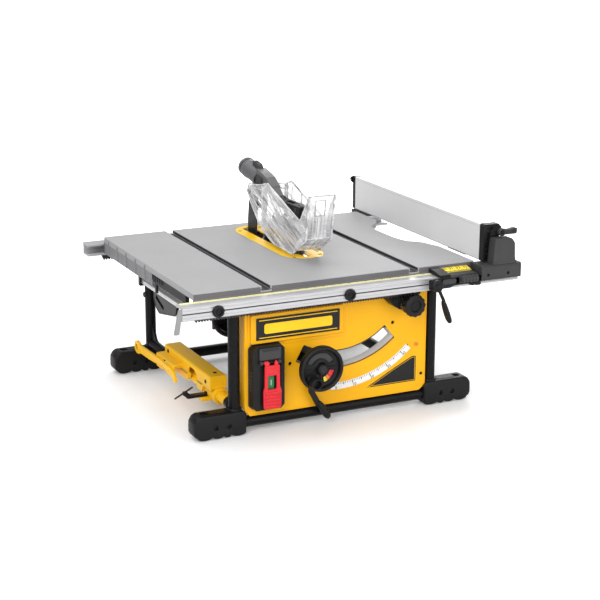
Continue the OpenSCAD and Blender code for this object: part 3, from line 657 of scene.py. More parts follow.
# ------------------------------------------------------------------ table
SCOOP = [(333.5, -130), (316, -73), (290, -51), (282, -7), (281, 75), (288, 119), (316, 143),
         (333.5, 172)]          # hollow in the right edge, (x, y)
TABLE_TOP = rounded([(-333.5, -279.5), (333.5, -279.5)] + SCOOP + [(333.5, 279.5),
                    (-333.5, 279.5)], [5, 5, 6, 40, 40, 70, 90, 60, 40, 6, 5, 5], 8)
THROAT = rounded([
    (-31, -54), (-24, -80), (0, -103), (48, -103), (67, -72), (67, 200), (60, 225), (40, 243),
    (14, 247), (-12, 237), (-27, 215), (-31, 190)], 22, 6)
THROAT_HOLE = rounded([
    (-24, -52), (-12, -78), (4, -94), (44, -94), (60, -68), (60, 196), (52, 218), (36, 234),
    (14, 238), (-8, 230), (-24, 205)], 14, 5)
BLADE_OPENING = rounded([
    (-4, -54), (9, -64), (11.5, -89), (21, -89), (23, -86), (23, 239), (11.5, 239), (9, 228),
    (-4, 226)], [6, 3, 2, 2, 1, 2, 2, 3, 6], 4)
THROAT_SCREWS = ((-12, -82), (52, -82), (-18, 205), (56, 195))


def table_casting():
    cuts = [plate("Z", 327, 331, grow(THROAT, 0.45)), plate("Z", 310, 331, THROAT_HOLE)]
    for x in SLOT_X:
        cuts.append(Part().box((x - 9.5, -285, 320.5), (x + 9.5, 285, 331)))
        cuts.append(Part().box((x - 12, -285, 320.5), (x + 12, 285, 323.3)))
    plate("Z", 317, 330, TABLE_TOP).finish(
        "table_casting", "table_grey", "root", 1.1, 3, 40, "table_top", cut=cuts)


def table_skirt():
    part = Part()
    part.box((-333.5, -40, 291), (-329.5, 279.5, 318))
    part.box((-333.5, 275.5, 291), (-273.5, 279.5, 318))
    for y in (0, 60, 120, 180, 240):
        part.pad("Z", 293, 326, -335.5, -331, y, y + 6, 1.6)
    part.pad("Y", -279.4, -276, -333, 333, 308, 318, 1.5)
    part.pad("Y", 276, 279.4, -333, 333, 308, 318, 1.5)
    for y in (-225, -150, 120, 195):
        part.box((-329, y, 310), (-70, y + 4, 317.4))
    for y in (-225, -150, 215):
        part.box((95, y, 310), (300, y + 4, 317.4))
    for x in (-270, -120, 110, 245):
        part.box((x, -250, 310), (x + 4, 250 if x < 200 else 235, 317.4))
    part.finish("table_skirt", "table_side", "root")

    # Dark pads under the table's left edge: painted shade in its recesses
    part = Part()
    for k in range(7):
        y = -16 - k * 13.5
        part.pad("X", -332.9, -331.6, y, y + 4.6, 304, 316, 1.6)
    part.pad("X", -332.9, -331.6, 20, 30, 296, 308, 3)
    part.finish("skirt_recess_shade", "slot_dark", "root", 0.2, 1)


def table_edges():
    # Dark sheets over the table's front face: painted shade
    part = Part()
    for x0, x1 in ((-332.8, -183.2), (-157.8, 168.8), (194.2, 332.8)):
        part.pad("Y", -279.95, -279.2, x0, x1, 317.4, 328.4, 0.8, 2)
    part.finish("table_front_shade", "table_edge", "root", 0.2, 1)
    # Dark sheets on the floor and walls of each slot: painted shade inside the slots
    part = Part()
    for x in SLOT_X:
        part.box((x - 9.3, -279.2, 320.55), (x + 9.3, 279.2, 320.9))
        for wall in (x - 9.46, x + 9.16):
            part.box((wall, -279.2, 323.6), (wall + 0.3, 279.2, 328.9))
    part.finish("slot_shade_sheets", "slot_dark", "root", 0)


def throat_plate():
    cuts = [plate("Z", 320, 335, BLADE_OPENING)]
    cuts += [hole("Z", centre, 328.2, 331, 4.6, 5.6) for centre in THROAT_SCREWS]
    cuts.append(hole("Z", (40, 222), 320, 335, 6))
    plate("Z", 327, 330, THROAT).finish(
        "throat_plate_cover", "yellow_plate", "root", 0.7, 3, 40, "throat_plate", cut=cuts)
    part = Part()
    for x, y in THROAT_SCREWS:
        part.screw((x, y, 328.1), UP, 4.2, 1.5)
    part.finish("throat_screws", "black_plastic", "root", 0.15)


# ------------------------------------------------------------------ front panel
PANEL = rounded([(-208, 50), (-196, 37), (218, 37), (233, 50), (233, 300), (-208, 300)],
                [6, 6, 9, 9, 6, 6], 5)
PANEL_STEP = rounded([(-200, 266), (30, 266), (30, 190), (-118, 190), (-120, 200), (-200, 200)],
                     7, 5)
CORNER_PLATE = rounded([(84, 61), (208, 61), (208, 119), (198, 119), (150, 96)],
                       [1, 3, 3, 4, 10], 4)
PANEL_SCREWS = ((-101, 142), (148, 203))


def front_panel():
    cuts = [plate("Y", -265, -240, tilt_band(173, 210, -29, 40.5, 44))]
    cuts += [hole("Y", centre, -265, -240, 4) for centre in PANEL_SCREWS]
    cuts.append(hole("Y", KNOB, -265, -240, 8))
    plate("Y", -250, -246, PANEL).finish(
        "front_panel_face", "yellow_plastic", "root", 1.6, 3, 40, "front_panel", cut=cuts)
    Part().rim("Y", -251.2, -249.5, grow(PANEL, -0.6), 2.6).finish(
        "front_panel_lip", "yellow_plastic", "root", 0.6, 2, 40)
    part = Part()
    part.box((-208, -247, 52), (-205, -222, 298)).box((230, -247, 52), (233, -222, 298))
    part.box((-195, -247, 37), (217, -222, 40)).box((-206, -247, 296), (231, -226, 299.5))
    part.finish("front_panel_sides", "yellow_plastic", "root", 1.0)


def name_plate():
    boss = rounded([(-196, 198), (22, 198), (22, 262), (-196, 262)], 6, 5)
    plate("Y", -258, -249.8, boss).finish(
        "name_plate_boss", "yellow_plastic", "root", 2.2, 4, 40)
    plate("Y", -249.9, -252.4, PANEL_STEP).finish(
        "panel_step", "yellow_plastic", "root", 1.6, 3, 40)
    blank = rounded([(-184, 206), (12, 206), (12, 254), (-184, 254)], 1.5, 3)
    plate("Y", -260, -258, blank).finish(
        "plain_name_plate", "label_black", "root", 0.35, replaces="blank_plates")
    part = Part()
    for z in (210.2, 248.2):
        part.pad("Y", -260.35, -259.9, -178, 6, z, z + 1.7, 0.6)
    part.pad("Y", -260.5, -259.9, -166, -6, 219, 241, 5)
    part.finish("plain_plate_bars", "yellow_plate", "root", 0.12, 1)


def corner_plate():
    plate("Y", -250.8, -249.9, CORNER_PLATE).finish(
        "corner_plate", "label_black", "root", 0.2, 1)
    Part().rim("Y", -251.0, -250.7, grow(CORNER_PLATE, -2.2), 0.8).finish(
        "corner_plate_line", "yellow_soft", "root", 0.08, 1)


def bevel_scale():
    plate("Y", -250.8, -249.9, tilt_band(246, 262, -4, 43)).finish(
        "bevel_scale_face", "label_white", "root", 0.15, 1, replaces="bevel_scale")
    tick_start, number_radius = 247.2, 258.6
    part = Part()
    for k in range(46):
        length = 7.5 if k % 10 == 0 else (5.5 if k % 5 == 0 else 3.4)
        half = 0.48 if k % 5 else 0.85
        angle = radians(k - 2)
        part.prism("Y", -251.0, -250.75, [
            (TILT[0] + radius * sin(angle) + side * cos(angle),
             TILT[1] - radius * cos(angle) + side * sin(angle))
            for radius, side in ((tick_start, -half), (tick_start + length, -half),
                                 (tick_start + length, half), (tick_start, half))])
    for k in (0, 10, 20, 30, 40):
        across = radians(k - 1.2)
        part.text(str(k), at_y(tilt_point(number_radius, k - 1.2), -250.95),
                  (cos(across), 0, sin(across)), (-sin(across), 0, cos(across)), 9.5, 0.2)
    part.finish("bevel_scale_marks", "ink", "root", 0)


def curved_slot():
    refine("slot_rim", "label_white", 0.35)
    part = Part()
    for inner, outer in ((171.4, 173.4), (209.6, 211.6)):
        part.prism("Y", -250.9, -249.7, tilt_band(inner, outer, -29.0, 40.4))
    part.finish("slot_line", "dark_grey_plastic", "root", 0.1, 1)
    corner_radius = 173.0
    points = [tilt_point(corner_radius, 41.0)]
    for k in range(9):
        turn = k / 8 * pi / 2
        points.append(tilt_point(corner_radius + 9.5 * (1 - cos(turn)), 36.6 + 4.2 * sin(turn)))
    plate("Y", -250.2, -232.0, points).finish(
        "slot_corner_inner", "black_plastic", "root", 0.1, 1)


def panel_details():
    part = Part()
    part.turned("Y", (208, 146), [(-250.0, 5.6), (-250.9, 5.6), (-250.9, 4.2), (-250.0, 4.2)], 32)
    part.box((206.6, -250.9, 143.4), (209.4, -250, 148.6))
    part.box((205.4, -250.9, 144.7), (210.6, -250, 147.2))
    part.finish("round_mark", "orange_mark", "root", 0.15, 1)
    part = Part()
    for z in (76, 240):
        part.screw((222, -250, z), FRONT, 3.6)
    for centre in PANEL_SCREWS:
        part.cylinder("Y", centre, -247.2, -244.5, 4.6, n=24, chamfer=0.4)
    part.finish("panel_screws", "black_plastic", "root", 0.15, 1)


# ------------------------------------------------------------------ switch
SWITCH = rounded([(-198, 62), (-190, 54), (-132, 54), (-124, 62), (-124, 188), (-132, 196),
                  (-190, 196), (-198, 188)], 5, 5)
PADDLE = rounded([(-177, 58), (-136, 58), (-135.5, 98), (-139, 108), (-139.5, 155), (-174, 155),
                  (-174.5, 108), (-177.5, 98)], [7, 7, 5, 5, 4, 4, 5, 5], 5)
PADDLE_HINGE = (-277, 161)      # (y, z)


def switch_box():
    plate("Y", -272, -250, SWITCH).finish(
        "switch_case", "black_plastic", "root", 2.4, 4, 50, "switch_box",
        cut=[Part().pad("Y", -274, -255, -165, -149, 100, 130, 1.5),
             Part().pad("Y", -274, -270, -180, -133, 57.5, 158, 3)])
    part = Part().rim("Y", -253.5, -249.8, grow(SWITCH, 2.0), 3.2)
    for x in (-198.2, -125.6):
        for z in (96, 104, 112, 120, 128, 136):
            part.pad("Y", -268, -254, x, x + 1.8, z, z + 4.6, 0.8)
    for x in (-181, -139):
        part.pad("X", x - 3, x + 3, -281, -271, 157.4, 165, 2.6)
    part.finish("switch_trim", "dark_grey_plastic", "root", 0.6)
    flap = rounded([(-184, 166), (-134, 166), (-134, 192), (-184, 192)], 3, 4)
    plate("Y", -276, -271.8, flap).finish("switch_flap", "flap_grey", "root", 1.2, 3)
    part = Part()
    for z in (185.5, 188.5):
        part.pad("Y", -276.4, -275.8, -178, -140, z, z + 1.1, 0.5)
    part.finish("switch_flap_lines", "black_plastic", "root", 0.2, 1)


def start_key():
    key = rounded([(-164.5, 100.5), (-149.5, 100.5), (-149.5, 129.5), (-164.5, 129.5)], 1.8, 4)
    plate("Y", -274, -262, key).finish(
        "start_key", "green_plastic", "start", 1.2, 3, replaces="start_button")
    Part().pad("Y", -274.25, -273.9, -157.5, -156.5, 109, 121, 0.45).finish(
        "start_key_mark", "label_white", "start", 0.05, 1)


def stop_paddle():
    """A hinged plate with a window over the start key and a ribbed lower end."""
    plate("Y", -282, -276.3, PADDLE).finish(
        "stop_plate", "red_plastic", "stop", 1.6, 3, 40, "stop_paddle",
        cut=[Part().pad("Y", -290, -270, -167, -147, 102, 132, 2.5)])
    part = Part()
    for z in (62, 69.5, 77, 84.5, 92):
        inset = 1.2 if z == 62 else 0
        part.pad("X", -174 + inset, -139 - inset, -284, -281, z, z + 4.2, 1.4)
    part.pad("Z", 138, 147, -171, -143, -283.2, -281, 1.0)
    part.finish("stop_ribs", "red_plastic", "stop", 0.5)
    part = Part()
    part.cylinder("X", PADDLE_HINGE, -175, -165, 3.4, chamfer=0.5)
    part.cylinder("X", PADDLE_HINGE, -149, -145, 3.4, chamfer=0.5)
    part.pad("Y", -280.2, -276.5, -173, -163, 152, 162, 1.5)
    part.pad("Y", -280.2, -276.5, -151, -143, 152, 162, 1.5)
    part.finish("stop_hinge", "red_plastic", "stop", 0.5)
    plate("X", -186, -134, circle(PADDLE_HINGE, 1.5, 18)).finish(
        "stop_hinge_pin", "black_plastic", "stop", 0.2, 1)


# ------------------------------------------------------------------ cage and feet
# Gusset outlines, (distance inward from the tube's centre, z)
BACK_GUSSET = [(6, 66), (75, 66), (72, 74), (40, 78), (17, 112), (6, 112)]
FRONT_GUSSET = [(6, 66), (32, 66), (30, 74), (18, 78), (14, 104), (6, 104)]


def cage():
    front, back = TUBE_Y
    left, right = TUBE_X
    part = Part()
    for corner in TUBE_CORNERS:
        part.cylinder("Z", corner, 12, 317, TUBE_RADIUS, n=56)
    for y in TUBE_Y:
        part.cylinder("X", (y, 24), left, right, TUBE_RADIUS, n=56)
    for x in TUBE_X:
        part.cylinder("Y", (x, SIDE_TUBE_Z), front, back, TUBE_RADIUS, n=56)
    part.finish("cage_tubes", "black_tube", "root", 0.4, 1, replaces="roll_cage")

    part = Part()
    for x in TUBE_X:
        part.prism("X", x - 2.6, x + 2.6, rounded(
            [(back - inward, z) for inward, z in BACK_GUSSET], [0, 2, 5, 18, 6, 0], 5))
        part.prism("X", x - 2.6, x + 2.6, rounded(
            [(front + inward, z) for inward, z in FRONT_GUSSET], [0, 2, 4, 8, 4, 0], 5))
    for x in TUBE_X:
        for y in TUBE_Y:
            part.lathe((x, y, 306), UP, [(0, 12.4), (0, 14.2), (11, 14.6), (11, 12.4)])
        for y, inward in ((front, 1), (back, -1)):
            part.lathe((x, y + inward * 10.5, SIDE_TUBE_Z), (0, inward, 0),
                       [(0, 14.0), (1.2, 14.3), (3.2, 13.2), (4.4, 12.4), (0, 12.2)])
    for x, y in TUBE_CORNERS:
        part.lathe((x, y - 12.2, 282), FRONT,
                   [(-2, 5.0), (0.3, 5.0), (1.4, 4.2), (1.8, 2.8), (1.8, 0)], 24)
    part.finish("cage_gussets", "black_tube", "root")


# Upper outline of a foot, (distance outward from the tube, z)
FOOT_TOP = rounded([(-21, 7.1), (-22, 47), (-15, 55), (84, 55), (92, 51), (98.4, 41), (99, 30),
                    (99, 17), (96, 10), (91, 7.1)], [0, 4, 4, 8, 6, 8, 4, 8, 4, 0], 4)
SOLE_LOBES = ((74, 17), (44, 13), (22, 9), (-4, 17))    # centre, half width
SOLE_Z = 7.0
FOOT_SCREWS = (20, 50)
# Where the panel passes the front feet: corners of the cut in the foot, then in its collar
PANEL_NOTCHES = {
    "front_left": (((-213.5, -250.4, 30), (-190, -215, 60)),
                   ((-213.5, -258, 30), (-190, -215, 70))),
    "front_right": (((215, -250.4, 36.4), (233.4, -215, 60)),
                    ((215, -258, 30), (233.4, -215, 70))),
}


def foot_outline():
    sole = []
    for centre, half in SOLE_LOBES:
        for k in range(9):
            angle = pi * k / 8
            if k or not sole:       # neighbouring lobes share a point
                sole.append((centre + half * cos(angle), SOLE_Z - SOLE_Z * sin(angle)))
    return FOOT_TOP[:-1] + sole[:-1]


def feet():
    """Moulded blocks with a scalloped sole, each with a collar round its tube."""
    outline = foot_outline()
    for row, y in zip(("front", "rear"), TUBE_Y):
        for hand, x, side in (("left", TUBE_X[0], -1), ("right", TUBE_X[1], 1)):
            place = row + "_" + hand
            cuts = [hole("Z", (x + side * 70, y), -2, 60, 4.5),
                    hole("Z", (x + side * 70, y), 52, 60, 9)]
            cuts += [hole("Y", (x + side * out, 26), y - 45, y - 15.5, 6.2, 5.4)
                     for out in FOOT_SCREWS]
            collar_cuts = []
            if place in PANEL_NOTCHES:
                foot_notch, collar_notch = PANEL_NOTCHES[place]
                cuts.append(Part().box(*foot_notch))
                collar_cuts.append(Part().box(*collar_notch))
            Part().pillow(y, 20, [(x + side * out, z) for out, z in outline], 5.0).finish(
                "foot_" + place, "black_plastic", "root", 0, cut=cuts, sharp=42,
                replaces="feet" if place == "front_left" else None)
            part = Part().lathe((x, y, 50), UP, [(0, 16.5), (6.5, 16.5), (9.0, 14.6),
                                                 (9.0, 12.4), (0, 12.4)])
            middle = x + side * 40
            part.pad("Z", 54.2, 55.8, middle - 22, middle + 22, y - 10, y + 10, 5)
            part.finish("foot_collar_" + place, "black_plastic", "root", cut=collar_cuts)
    part = Part()
    for y in TUBE_Y:
        for x, side in zip(TUBE_X, (-1, 1)):
            for out in FOOT_SCREWS:
                part.screw((x + side * out, y - 15.2, 26), FRONT, 4.7, 2.8)
    part.finish("foot_recess_screws", "label_black", "root", 0.2, 1, replaces="foot_screws")


# ------------------------------------------------------------------ rails
# Section of a rail, (distance from the table centre, z)
RAIL_SECTION = [
    (281, 314), (316.6, 314), (318, 312.6), (318, 309.4), (317.1, 308.9), (317.1, 307.6),
    (318, 307.1), (318, 301.6), (315.9, 301.6), (315.9, 298.9), (318, 298.9), (318, 293.2),
    (317.1, 292.7), (317.1, 291.5), (318, 291.0), (318, 287.4), (316.6, 286), (281, 286),
    (281, 290), (284, 290), (284, 292), (287, 292), (287, 290), (314, 290), (314, 310),
    (287, 310), (287, 308), (284, 308), (284, 310), (281, 310)]
LOCATOR_X = (-295, 5, 305)
LOCATOR_HEAD = [
    (-3, 0), (-3, 6), (0, 6), (0.2, 12.6), (1.0, 12.9), (3.2, 12.9), (3.8, 12.0), (6.6, 11.6),
    (7.6, 10.6), (8, 9.2), (8, 7.4), (4.2, 7.0), (4.2, 4.8), (6.2, 4.4), (6.2, 2.2), (4.6, 2.0),
    (4.6, 0)]
TAPE_START = -362


def rails():
    for name, side in (("front_rail", -1), ("rear_rail", 1)):
        plate("X", -372, 425, [(side * out, z) for out, z in RAIL_SECTION]).finish(
            name + "_extrusion", "rail_aluminium", "rails", 0.35, 2, 30, name)
    # A dark strip at the bottom of each rail's groove: painted shade in the groove
    part = Part().box((-371.5, -316.5, 299.2), (424.5, -315.7, 301.3))
    part.box((-371.5, 315.7, 299.2), (424.5, 316.5, 301.3))
    part.finish("rail_groove_shade", "dark_grey_plastic", "rails", 0)
    refine("rail_racks", "knife_black", 0.15, 1)


def rail_tape():
    Part().pad("Z", 314, 314.8, -366, 322, -291, -282, 0.6).finish(
        "rail_tape", "tape_pale", "rails", 0.1, 1, replaces="rail_scale")
    part = Part()
    for k in range(682):
        x = TAPE_START + k
        length = 4.2 if k % 10 == 0 else (3.0 if k % 5 == 0 else (0 if k % 2 else 1.8))
        if length:
            part.box((x - 0.16, -290.8, 314.75), (x + 0.16, -290.8 + length, 314.9))
    for k in range(0, 68, 2):
        part.text(str(k), (TAPE_START + k * 10 + 2.8, -284.4, 314.86), RIGHT, BACK, 3.6, 0.1)
    part.finish("rail_tape_marks", "ink", "rails", 0)


def locator_heads():
    part = Part()
    for side in (-1, 1):
        for x in LOCATOR_X:
            y = side * RAIL_Y
            part.lathe((x, y, RAIL_Z), (0, side, 0), LOCATOR_HEAD)
            for k in range(16):
                angle = 2 * pi * k / 16
                part.lathe((x + 12.0 * cos(angle), y + side * 3.6, RAIL_Z + 12.0 * sin(angle)),
                           (0, side, 0), [(0, 0), (0, 1.0), (2.8, 0.9), (3.2, 0)], 8)
    part.finish("locator_screw_heads", "black_plastic", "rails", 0.15, 1,
                replaces="locator_screws")


def end_stop():
    """A small block on the front rail's left end and a bar hanging from it."""
    part = Part()
    part.prism("X", -375, -371.8, rounded(
        [(-317.6, 286.3), (-314.4, 286.3), (-314.4, 313.7), (-317.6, 313.7)], 1.2, 3))
    part.prism("Y", -317.8, -314.4, rounded(
        [(-375, 312), (-375, 287), (-379, 260), (-390.5, 260), (-383, 300), (-380, 312)],
        [1, 2, 3, 3, 3, 2], 4))
    part.prism("Y", -318.0, -317.2, rounded(
        [(-377, 309), (-377.4, 289), (-381.5, 263), (-388, 263), (-381.6, 300), (-379, 309)],
        [1, 2, 2, 2, 3, 1], 4))
    part.lathe((-381.5, -317.6, 280), FRONT,
               [(-0.4, 0), (-0.4, 2.6), (0.2, 2.4), (0.35, 1.8), (0.35, 0)], 24)
    part.finish("end_stop_bar", "stop_grey", "rails", 0.5, replaces="rail_end_stop")


def scale_cover():
    refine("rail_guides", "black_plastic", 0.8)
    part = Part()
    part.prism("X", 218, 318, rounded(
        [(-336, 300), (-336, 314.6), (-330, 315.8), (-300, 316.4), (-300, 315.3), (-333, 315.3),
         (-333, 300)], [0, 2, 3, 0.2, 0, 0, 0], 4))
    part.prism("X", 218, 243, rounded(
        [(-334, 315.5), (-330, 320), (-300, 325), (-279.6, 325), (-279.6, 315.5)],
        [0, 3, 6, 1, 0], 5))
    part.prism("X", 314, 318, rounded(
        [(-330, 315.5), (-301, 319), (-279.6, 321), (-279.6, 315.5)], [0, 2, 1, 0], 3))
    part.finish("scale_cover_top", "black_plastic", "root", 0.9, 3, 40, "scale_cover")
    part = Part()
    part.prism("Y", -336, -333, rounded(
        [(188, 292), (238, 292), (250, 296), (318, 298), (318, 315), (188, 315)],
        [4, 5, 5, 3, 2, 4], 4))
    part.cylinder("Y", RAIL_LOCK, -341, -335, 14, n=56, chamfer=1.0)
    part.cylinder("Y", RAIL_LOCK, -353, -341, 5, n=32, chamfer=0.6)
    part.finish("scale_cover_front", "black_plastic", "root", 1.0, 3)
    part = Part()
    part.prism("X", 244, 311, rounded(
        [(-327, 315.4), (-303, 315.9), (-303, 316.8), (-327, 316.5)], 0.2, 2))
    part.pad("Y", -337.4, -335.6, 220, 254, 301, 312, 4)
    part.pad("Y", -338.0, -337, 225, 249, 303.5, 309.5, 2.6)
    part.prism("Y", -338, -335.5, rounded([(262, 300), (308, 301), (308, 316), (262, 315)], 3, 4))
    part.finish("scale_cover_details", "dark_grey_plastic", "root", 0.6, 3)


def thumb_roller():
    part = Part()
    for k in range(5):
        part.lathe((266 + k * 8.2, -341, 309), RIGHT,
                   [(0, 0), (0, 6.2), (1.0, 7.4), (4.6, 7.4), (5.6, 6.2), (5.6, 0)], 40)
    part.lathe((264, -341, 309), RIGHT, [(0, 0), (0, 5.4), (42, 5.4), (42, 0)], 32)
    part.finish("thumb_roller", "flap_grey", "root", 0.3)


def window_strip():
    """The numbered strip on top of the scale cover; it rises towards the back."""
    slope = 0.2488
    plate("X", 243.2, 313.9, [
        (-301.5, 316.3), (-280.4, 316.3 + 21.1 * slope), (-280.4, 317.1 + 21.1 * slope),
        (-301.5, 317.1)]).finish("window_tape", "label_yellow", "root", 0.05, 1)
    part = Part()
    for k in range(35):
        x = 244.6 + k * 2
        length = 7.5 if k % 5 == 0 else 4.5
        part.prism("X", x - 0.45, x + 0.45, [
            (-301.2, 317.15), (-301.2 + length, 317.15 + length * slope),
            (-301.2 + length, 317.35 + length * slope), (-301.2, 317.35)])
    for i, number in enumerate(("30", "31", "32", "33")):
        part.text(number, (253 + i * 17.5, -287.0, 317.2 + 14.5 * slope),
                  RIGHT, (0, 0.97042, 0.24144), 12.0, 0.2)
    part.finish("window_marks", "ink", "root", 0)


def rail_lock_lever():
    part = Part().lathe(at_y(RAIL_LOCK, -342), FRONT, [
        (0, 5.05), (0, 12.4), (0.6, 13), (8.4, 13), (9.6, 11.6), (9.9, 9.4), (9.2, 8.6),
        (9.2, 5.05)])
    part.sweep([(203.5, -347.5, 298), (210, -347.5, 284), (217, -347.5, 270),
                (219, -347.5, 262)], [5.6, 5.0, 5.0, 6.2], flat=[4, 3.4, 3.4, 3.8])
    part.finish("lock_lever_arm", "black_plastic", "rail_lock", 0.4, replaces="rail_lock_lever")
    grip = [(215.5, 270), (217.5, 265), (220, 257), (224, 246), (228, 235), (231.5, 226),
            (234, 219.5), (235, 216.6)]
    Part().sweep([at_y(point, -347) for point in grip], [4, 7.2, 9.2, 10.2, 10.6, 10.2, 8, 3.4],
                 28, flat=[3, 4.6, 5.6, 6, 6, 5.8, 4.6, 2]).finish(
        "lock_lever_grip", "black_plastic", "rail_lock", 0, subdivide=1)
    Part().sweep([(218.6, -352.5, 252), (223.5, -353.2, 241), (228, -352.8, 230)],
                 [1.2, 1.5, 1.0], 12).finish(
        "lock_lever_ridge", "dark_grey_plastic", "rail_lock", 0)


# ------------------------------------------------------------------ adjusting knob
def knob():
    outline = []
    for degrees in range(0, 360, 3):
        radius = 24.4 + 0.9 * cos(radians(12 * degrees))
        outline.append((KNOB[0] + radius * cos(radians(degrees)),
                        KNOB[1] + radius * sin(radians(degrees))))
    plate("Y", -314.5, -300.5, outline).finish(
        "knob_body", "black_plastic", "pinion", 1.4, 3, 40, "adjust_knob",
        cut=[hole("Y", KNOB, -320, -311, 12.4), hole("Y", KNOB, -304, -290, 19)])
    part = Part()
    part.lathe(at_y(KNOB, -311), FRONT, [
        (0, 12.2), (3.0, 12.8), (4.8, 14.2), (5.0, 17.2), (4.2, 20.4), (2.5, 22.4),
        (0, 22.4)], 64)
    part.lathe(at_y(KNOB, -311.2), FRONT, [
        (-0.6, 0), (-0.6, 12.2), (0.2, 12.2), (0.2, 7.6), (1.6, 7.0), (1.6, 4.4), (0.5, 4.2),
        (0.5, 0)], 40)
    part.lathe(at_y(KNOB, -302), BACK, [(0, 6.02), (0, 13), (6, 12), (6, 6.02)])
    part.finish("knob_face", "black_plastic", "pinion", 0.3)
    refine("pinion_shaft", "steel", 0.4)
    refine("rail_pinions", "steel", 0.15, 1)


def knob_housing():
    case = rounded([(120, 281), (122, 262), (136, 248), (152, 238), (196, 234), (196, 281)],
                   [4, 10, 10, 10, 6, 4], 5)
    plate("Y", -278, -250, case).finish(
        "knob_housing_case", "black_plastic", "root", 2.4, 4, 50, "knob_housing",
        cut=[hole("Y", KNOB, -290, -240, 6.1)])
    part = plate("Y", -281, -277, rounded(
        [(124, 276), (127, 262), (139, 252), (154, 243), (158, 250), (148, 274)], 4, 4))
    part.cylinder("Y", (138, 264), -286, -280, 8.5, 7.0)
    part.cylinder("Y", (138, 264), -288.5, -285, 5, 4.2, n=30)
    part.pad("Y", -283, -280, 124, 150, 270, 278, 3)
    part.finish("knob_housing_face", "black_plastic", "root", 1.2, 3)
    Part().lathe(at_y(KNOB, -281), FRONT, [
        (-2, 6.1), (-2, 21), (0, 21), (3.0, 17.5), (12, 16), (14, 14), (14, 6.1)]).finish(
        "knob_collar", "black_plastic", "root", 0.4)
    refine("trunnions", "knife_black", 0.6)


# ------------------------------------------------------------------ fence and its carrier
CARRIER_SCREW_X = (340, 391)


def fence_carrier():
    part = plate("X", 322, 424, rounded(
        [(-330.5, 296), (-318, 296), (-318, 314), (-283, 314), (-283, 329), (-330.5, 329)],
        [2.5, 1, 0, 1, 1.5, 6], 5))
    part.prism("X", 340, 420, rounded([(283, 314), (318, 314), (318, 329), (283, 329)], 2, 4))
    face = rounded([(327, 299.5), (420, 299.5), (420, 325), (327, 325)], 4, 4)
    part.finish(
        "fence_carrier_base", "dark_grey_plastic", "rails", 2.0, 4, 50, "fence_carrier",
        cut=[hole("Y", (x, 308), -333, -326, 3.8, 3.4) for x in CARRIER_SCREW_X]
        + [plate("Y", -333, -329.9, face)])
    part = Part()
    for x in CARRIER_SCREW_X:
        part.screw((x, -326.2, 308), FRONT, 3.0, 1.2)
    part.finish("carrier_screws", "black_plastic", "rails", 0.15, 1)


def fence_posts():
    post = rounded([(352, 328), (411, 328), (409, 345), (408, 374), (399, 386), (357, 386)],
                   [1, 1, 10, 12, 12, 5], 6)
    plate("Y", -327.4, -303, post).finish(
        "fence_post", "dark_grey_plastic", "rails", 3.2, 4, 50)
    part = plate("Y", -328, -326.8, rounded(
        [(366, 333), (406.5, 333), (404.6, 345), (403.6, 371), (396, 381), (370, 381)],
        [4, 4, 9, 10, 10, 6], 5))
    part.prism("Y", -328.4, -326.6, rounded(
        [(353, 328.6), (414, 328.6), (411.5, 334), (355, 334)], 2, 3))
    part.finish("fence_post_face", "dark_grey_plastic", "rails", 1.0, 3, 50)
    rear = rounded([(372, 328), (420, 328), (414, 370), (376, 370)], [1, 1, 9, 6], 5)
    plate("Y", 306, 318, rear).finish(
        "rear_fence_post", "dark_grey_plastic", "rails", 1.8, 3, 50)
    part = plate("X", 312, 323, rounded(
        [(-327, 287), (-317.8, 287), (-317.8, 314), (-327, 314)], [3, 1, 1, 3], 4))
    part.lathe((305, -RAIL_Y, RAIL_Z), FRONT, [
        (0, 0), (0, 12.5), (6.6, 12.5), (8.2, 11.4), (9, 9.6), (9, 6.2), (6.6, 5.8), (6.6, 3.2),
        (8, 3), (8, 0)])
    part.finish("carrier_clamp", "black_plastic", "rails", 0.6)


def fence_beam():
    """A hollow beam with two channels and two grooves in its right face."""
    beam = [(343, 332), (363, 332), (363, 413), (343, 413)]
    channels = ((345.6, 360.4, 335, 370.6), (345.6, 360.4, 373.4, 410), (362, 364, 346, 352),
                (362, 364, 392, 398))      # x from, to; z from, to
    plate("Y", -283, 305, beam).finish(
        "fence_beam_extrusion", "fence_aluminium", "fence", 0.5, 2, 30, "fence_beam",
        cut=[Part().box((x0, -284, z0), (x1, 306, z1)) for x0, x1, z0, z1 in channels])
    # Two thin strips of the shinier rail metal on the beam's left face, low and high: painted
    # highlight lines
    part = Part().box((342.6, -282.5, 332.1), (343.1, 304.5, 334.0))
    part.box((342.8, -282.5, 406.5), (343.1, 304.5, 406.9))
    part.finish("fence_edge_highlights", "rail_aluminium", "fence", 0)
    Part().box((342.7, -226, 330.2), (359.8, -151, 332.6)).finish(
        "fence_wear_strip", "black_plastic", "fence", 0.3, 1)


# Recesses in the front of the fence head: x from, to; z from, to
HEAD_RECESSES = ((347, 360, 334, 346), (347, 360, 350, 357), (347, 360, 361, 372),
                 (364, 379, 334, 346), (352, 366, 402, 409), (352, 358, 376, 397))


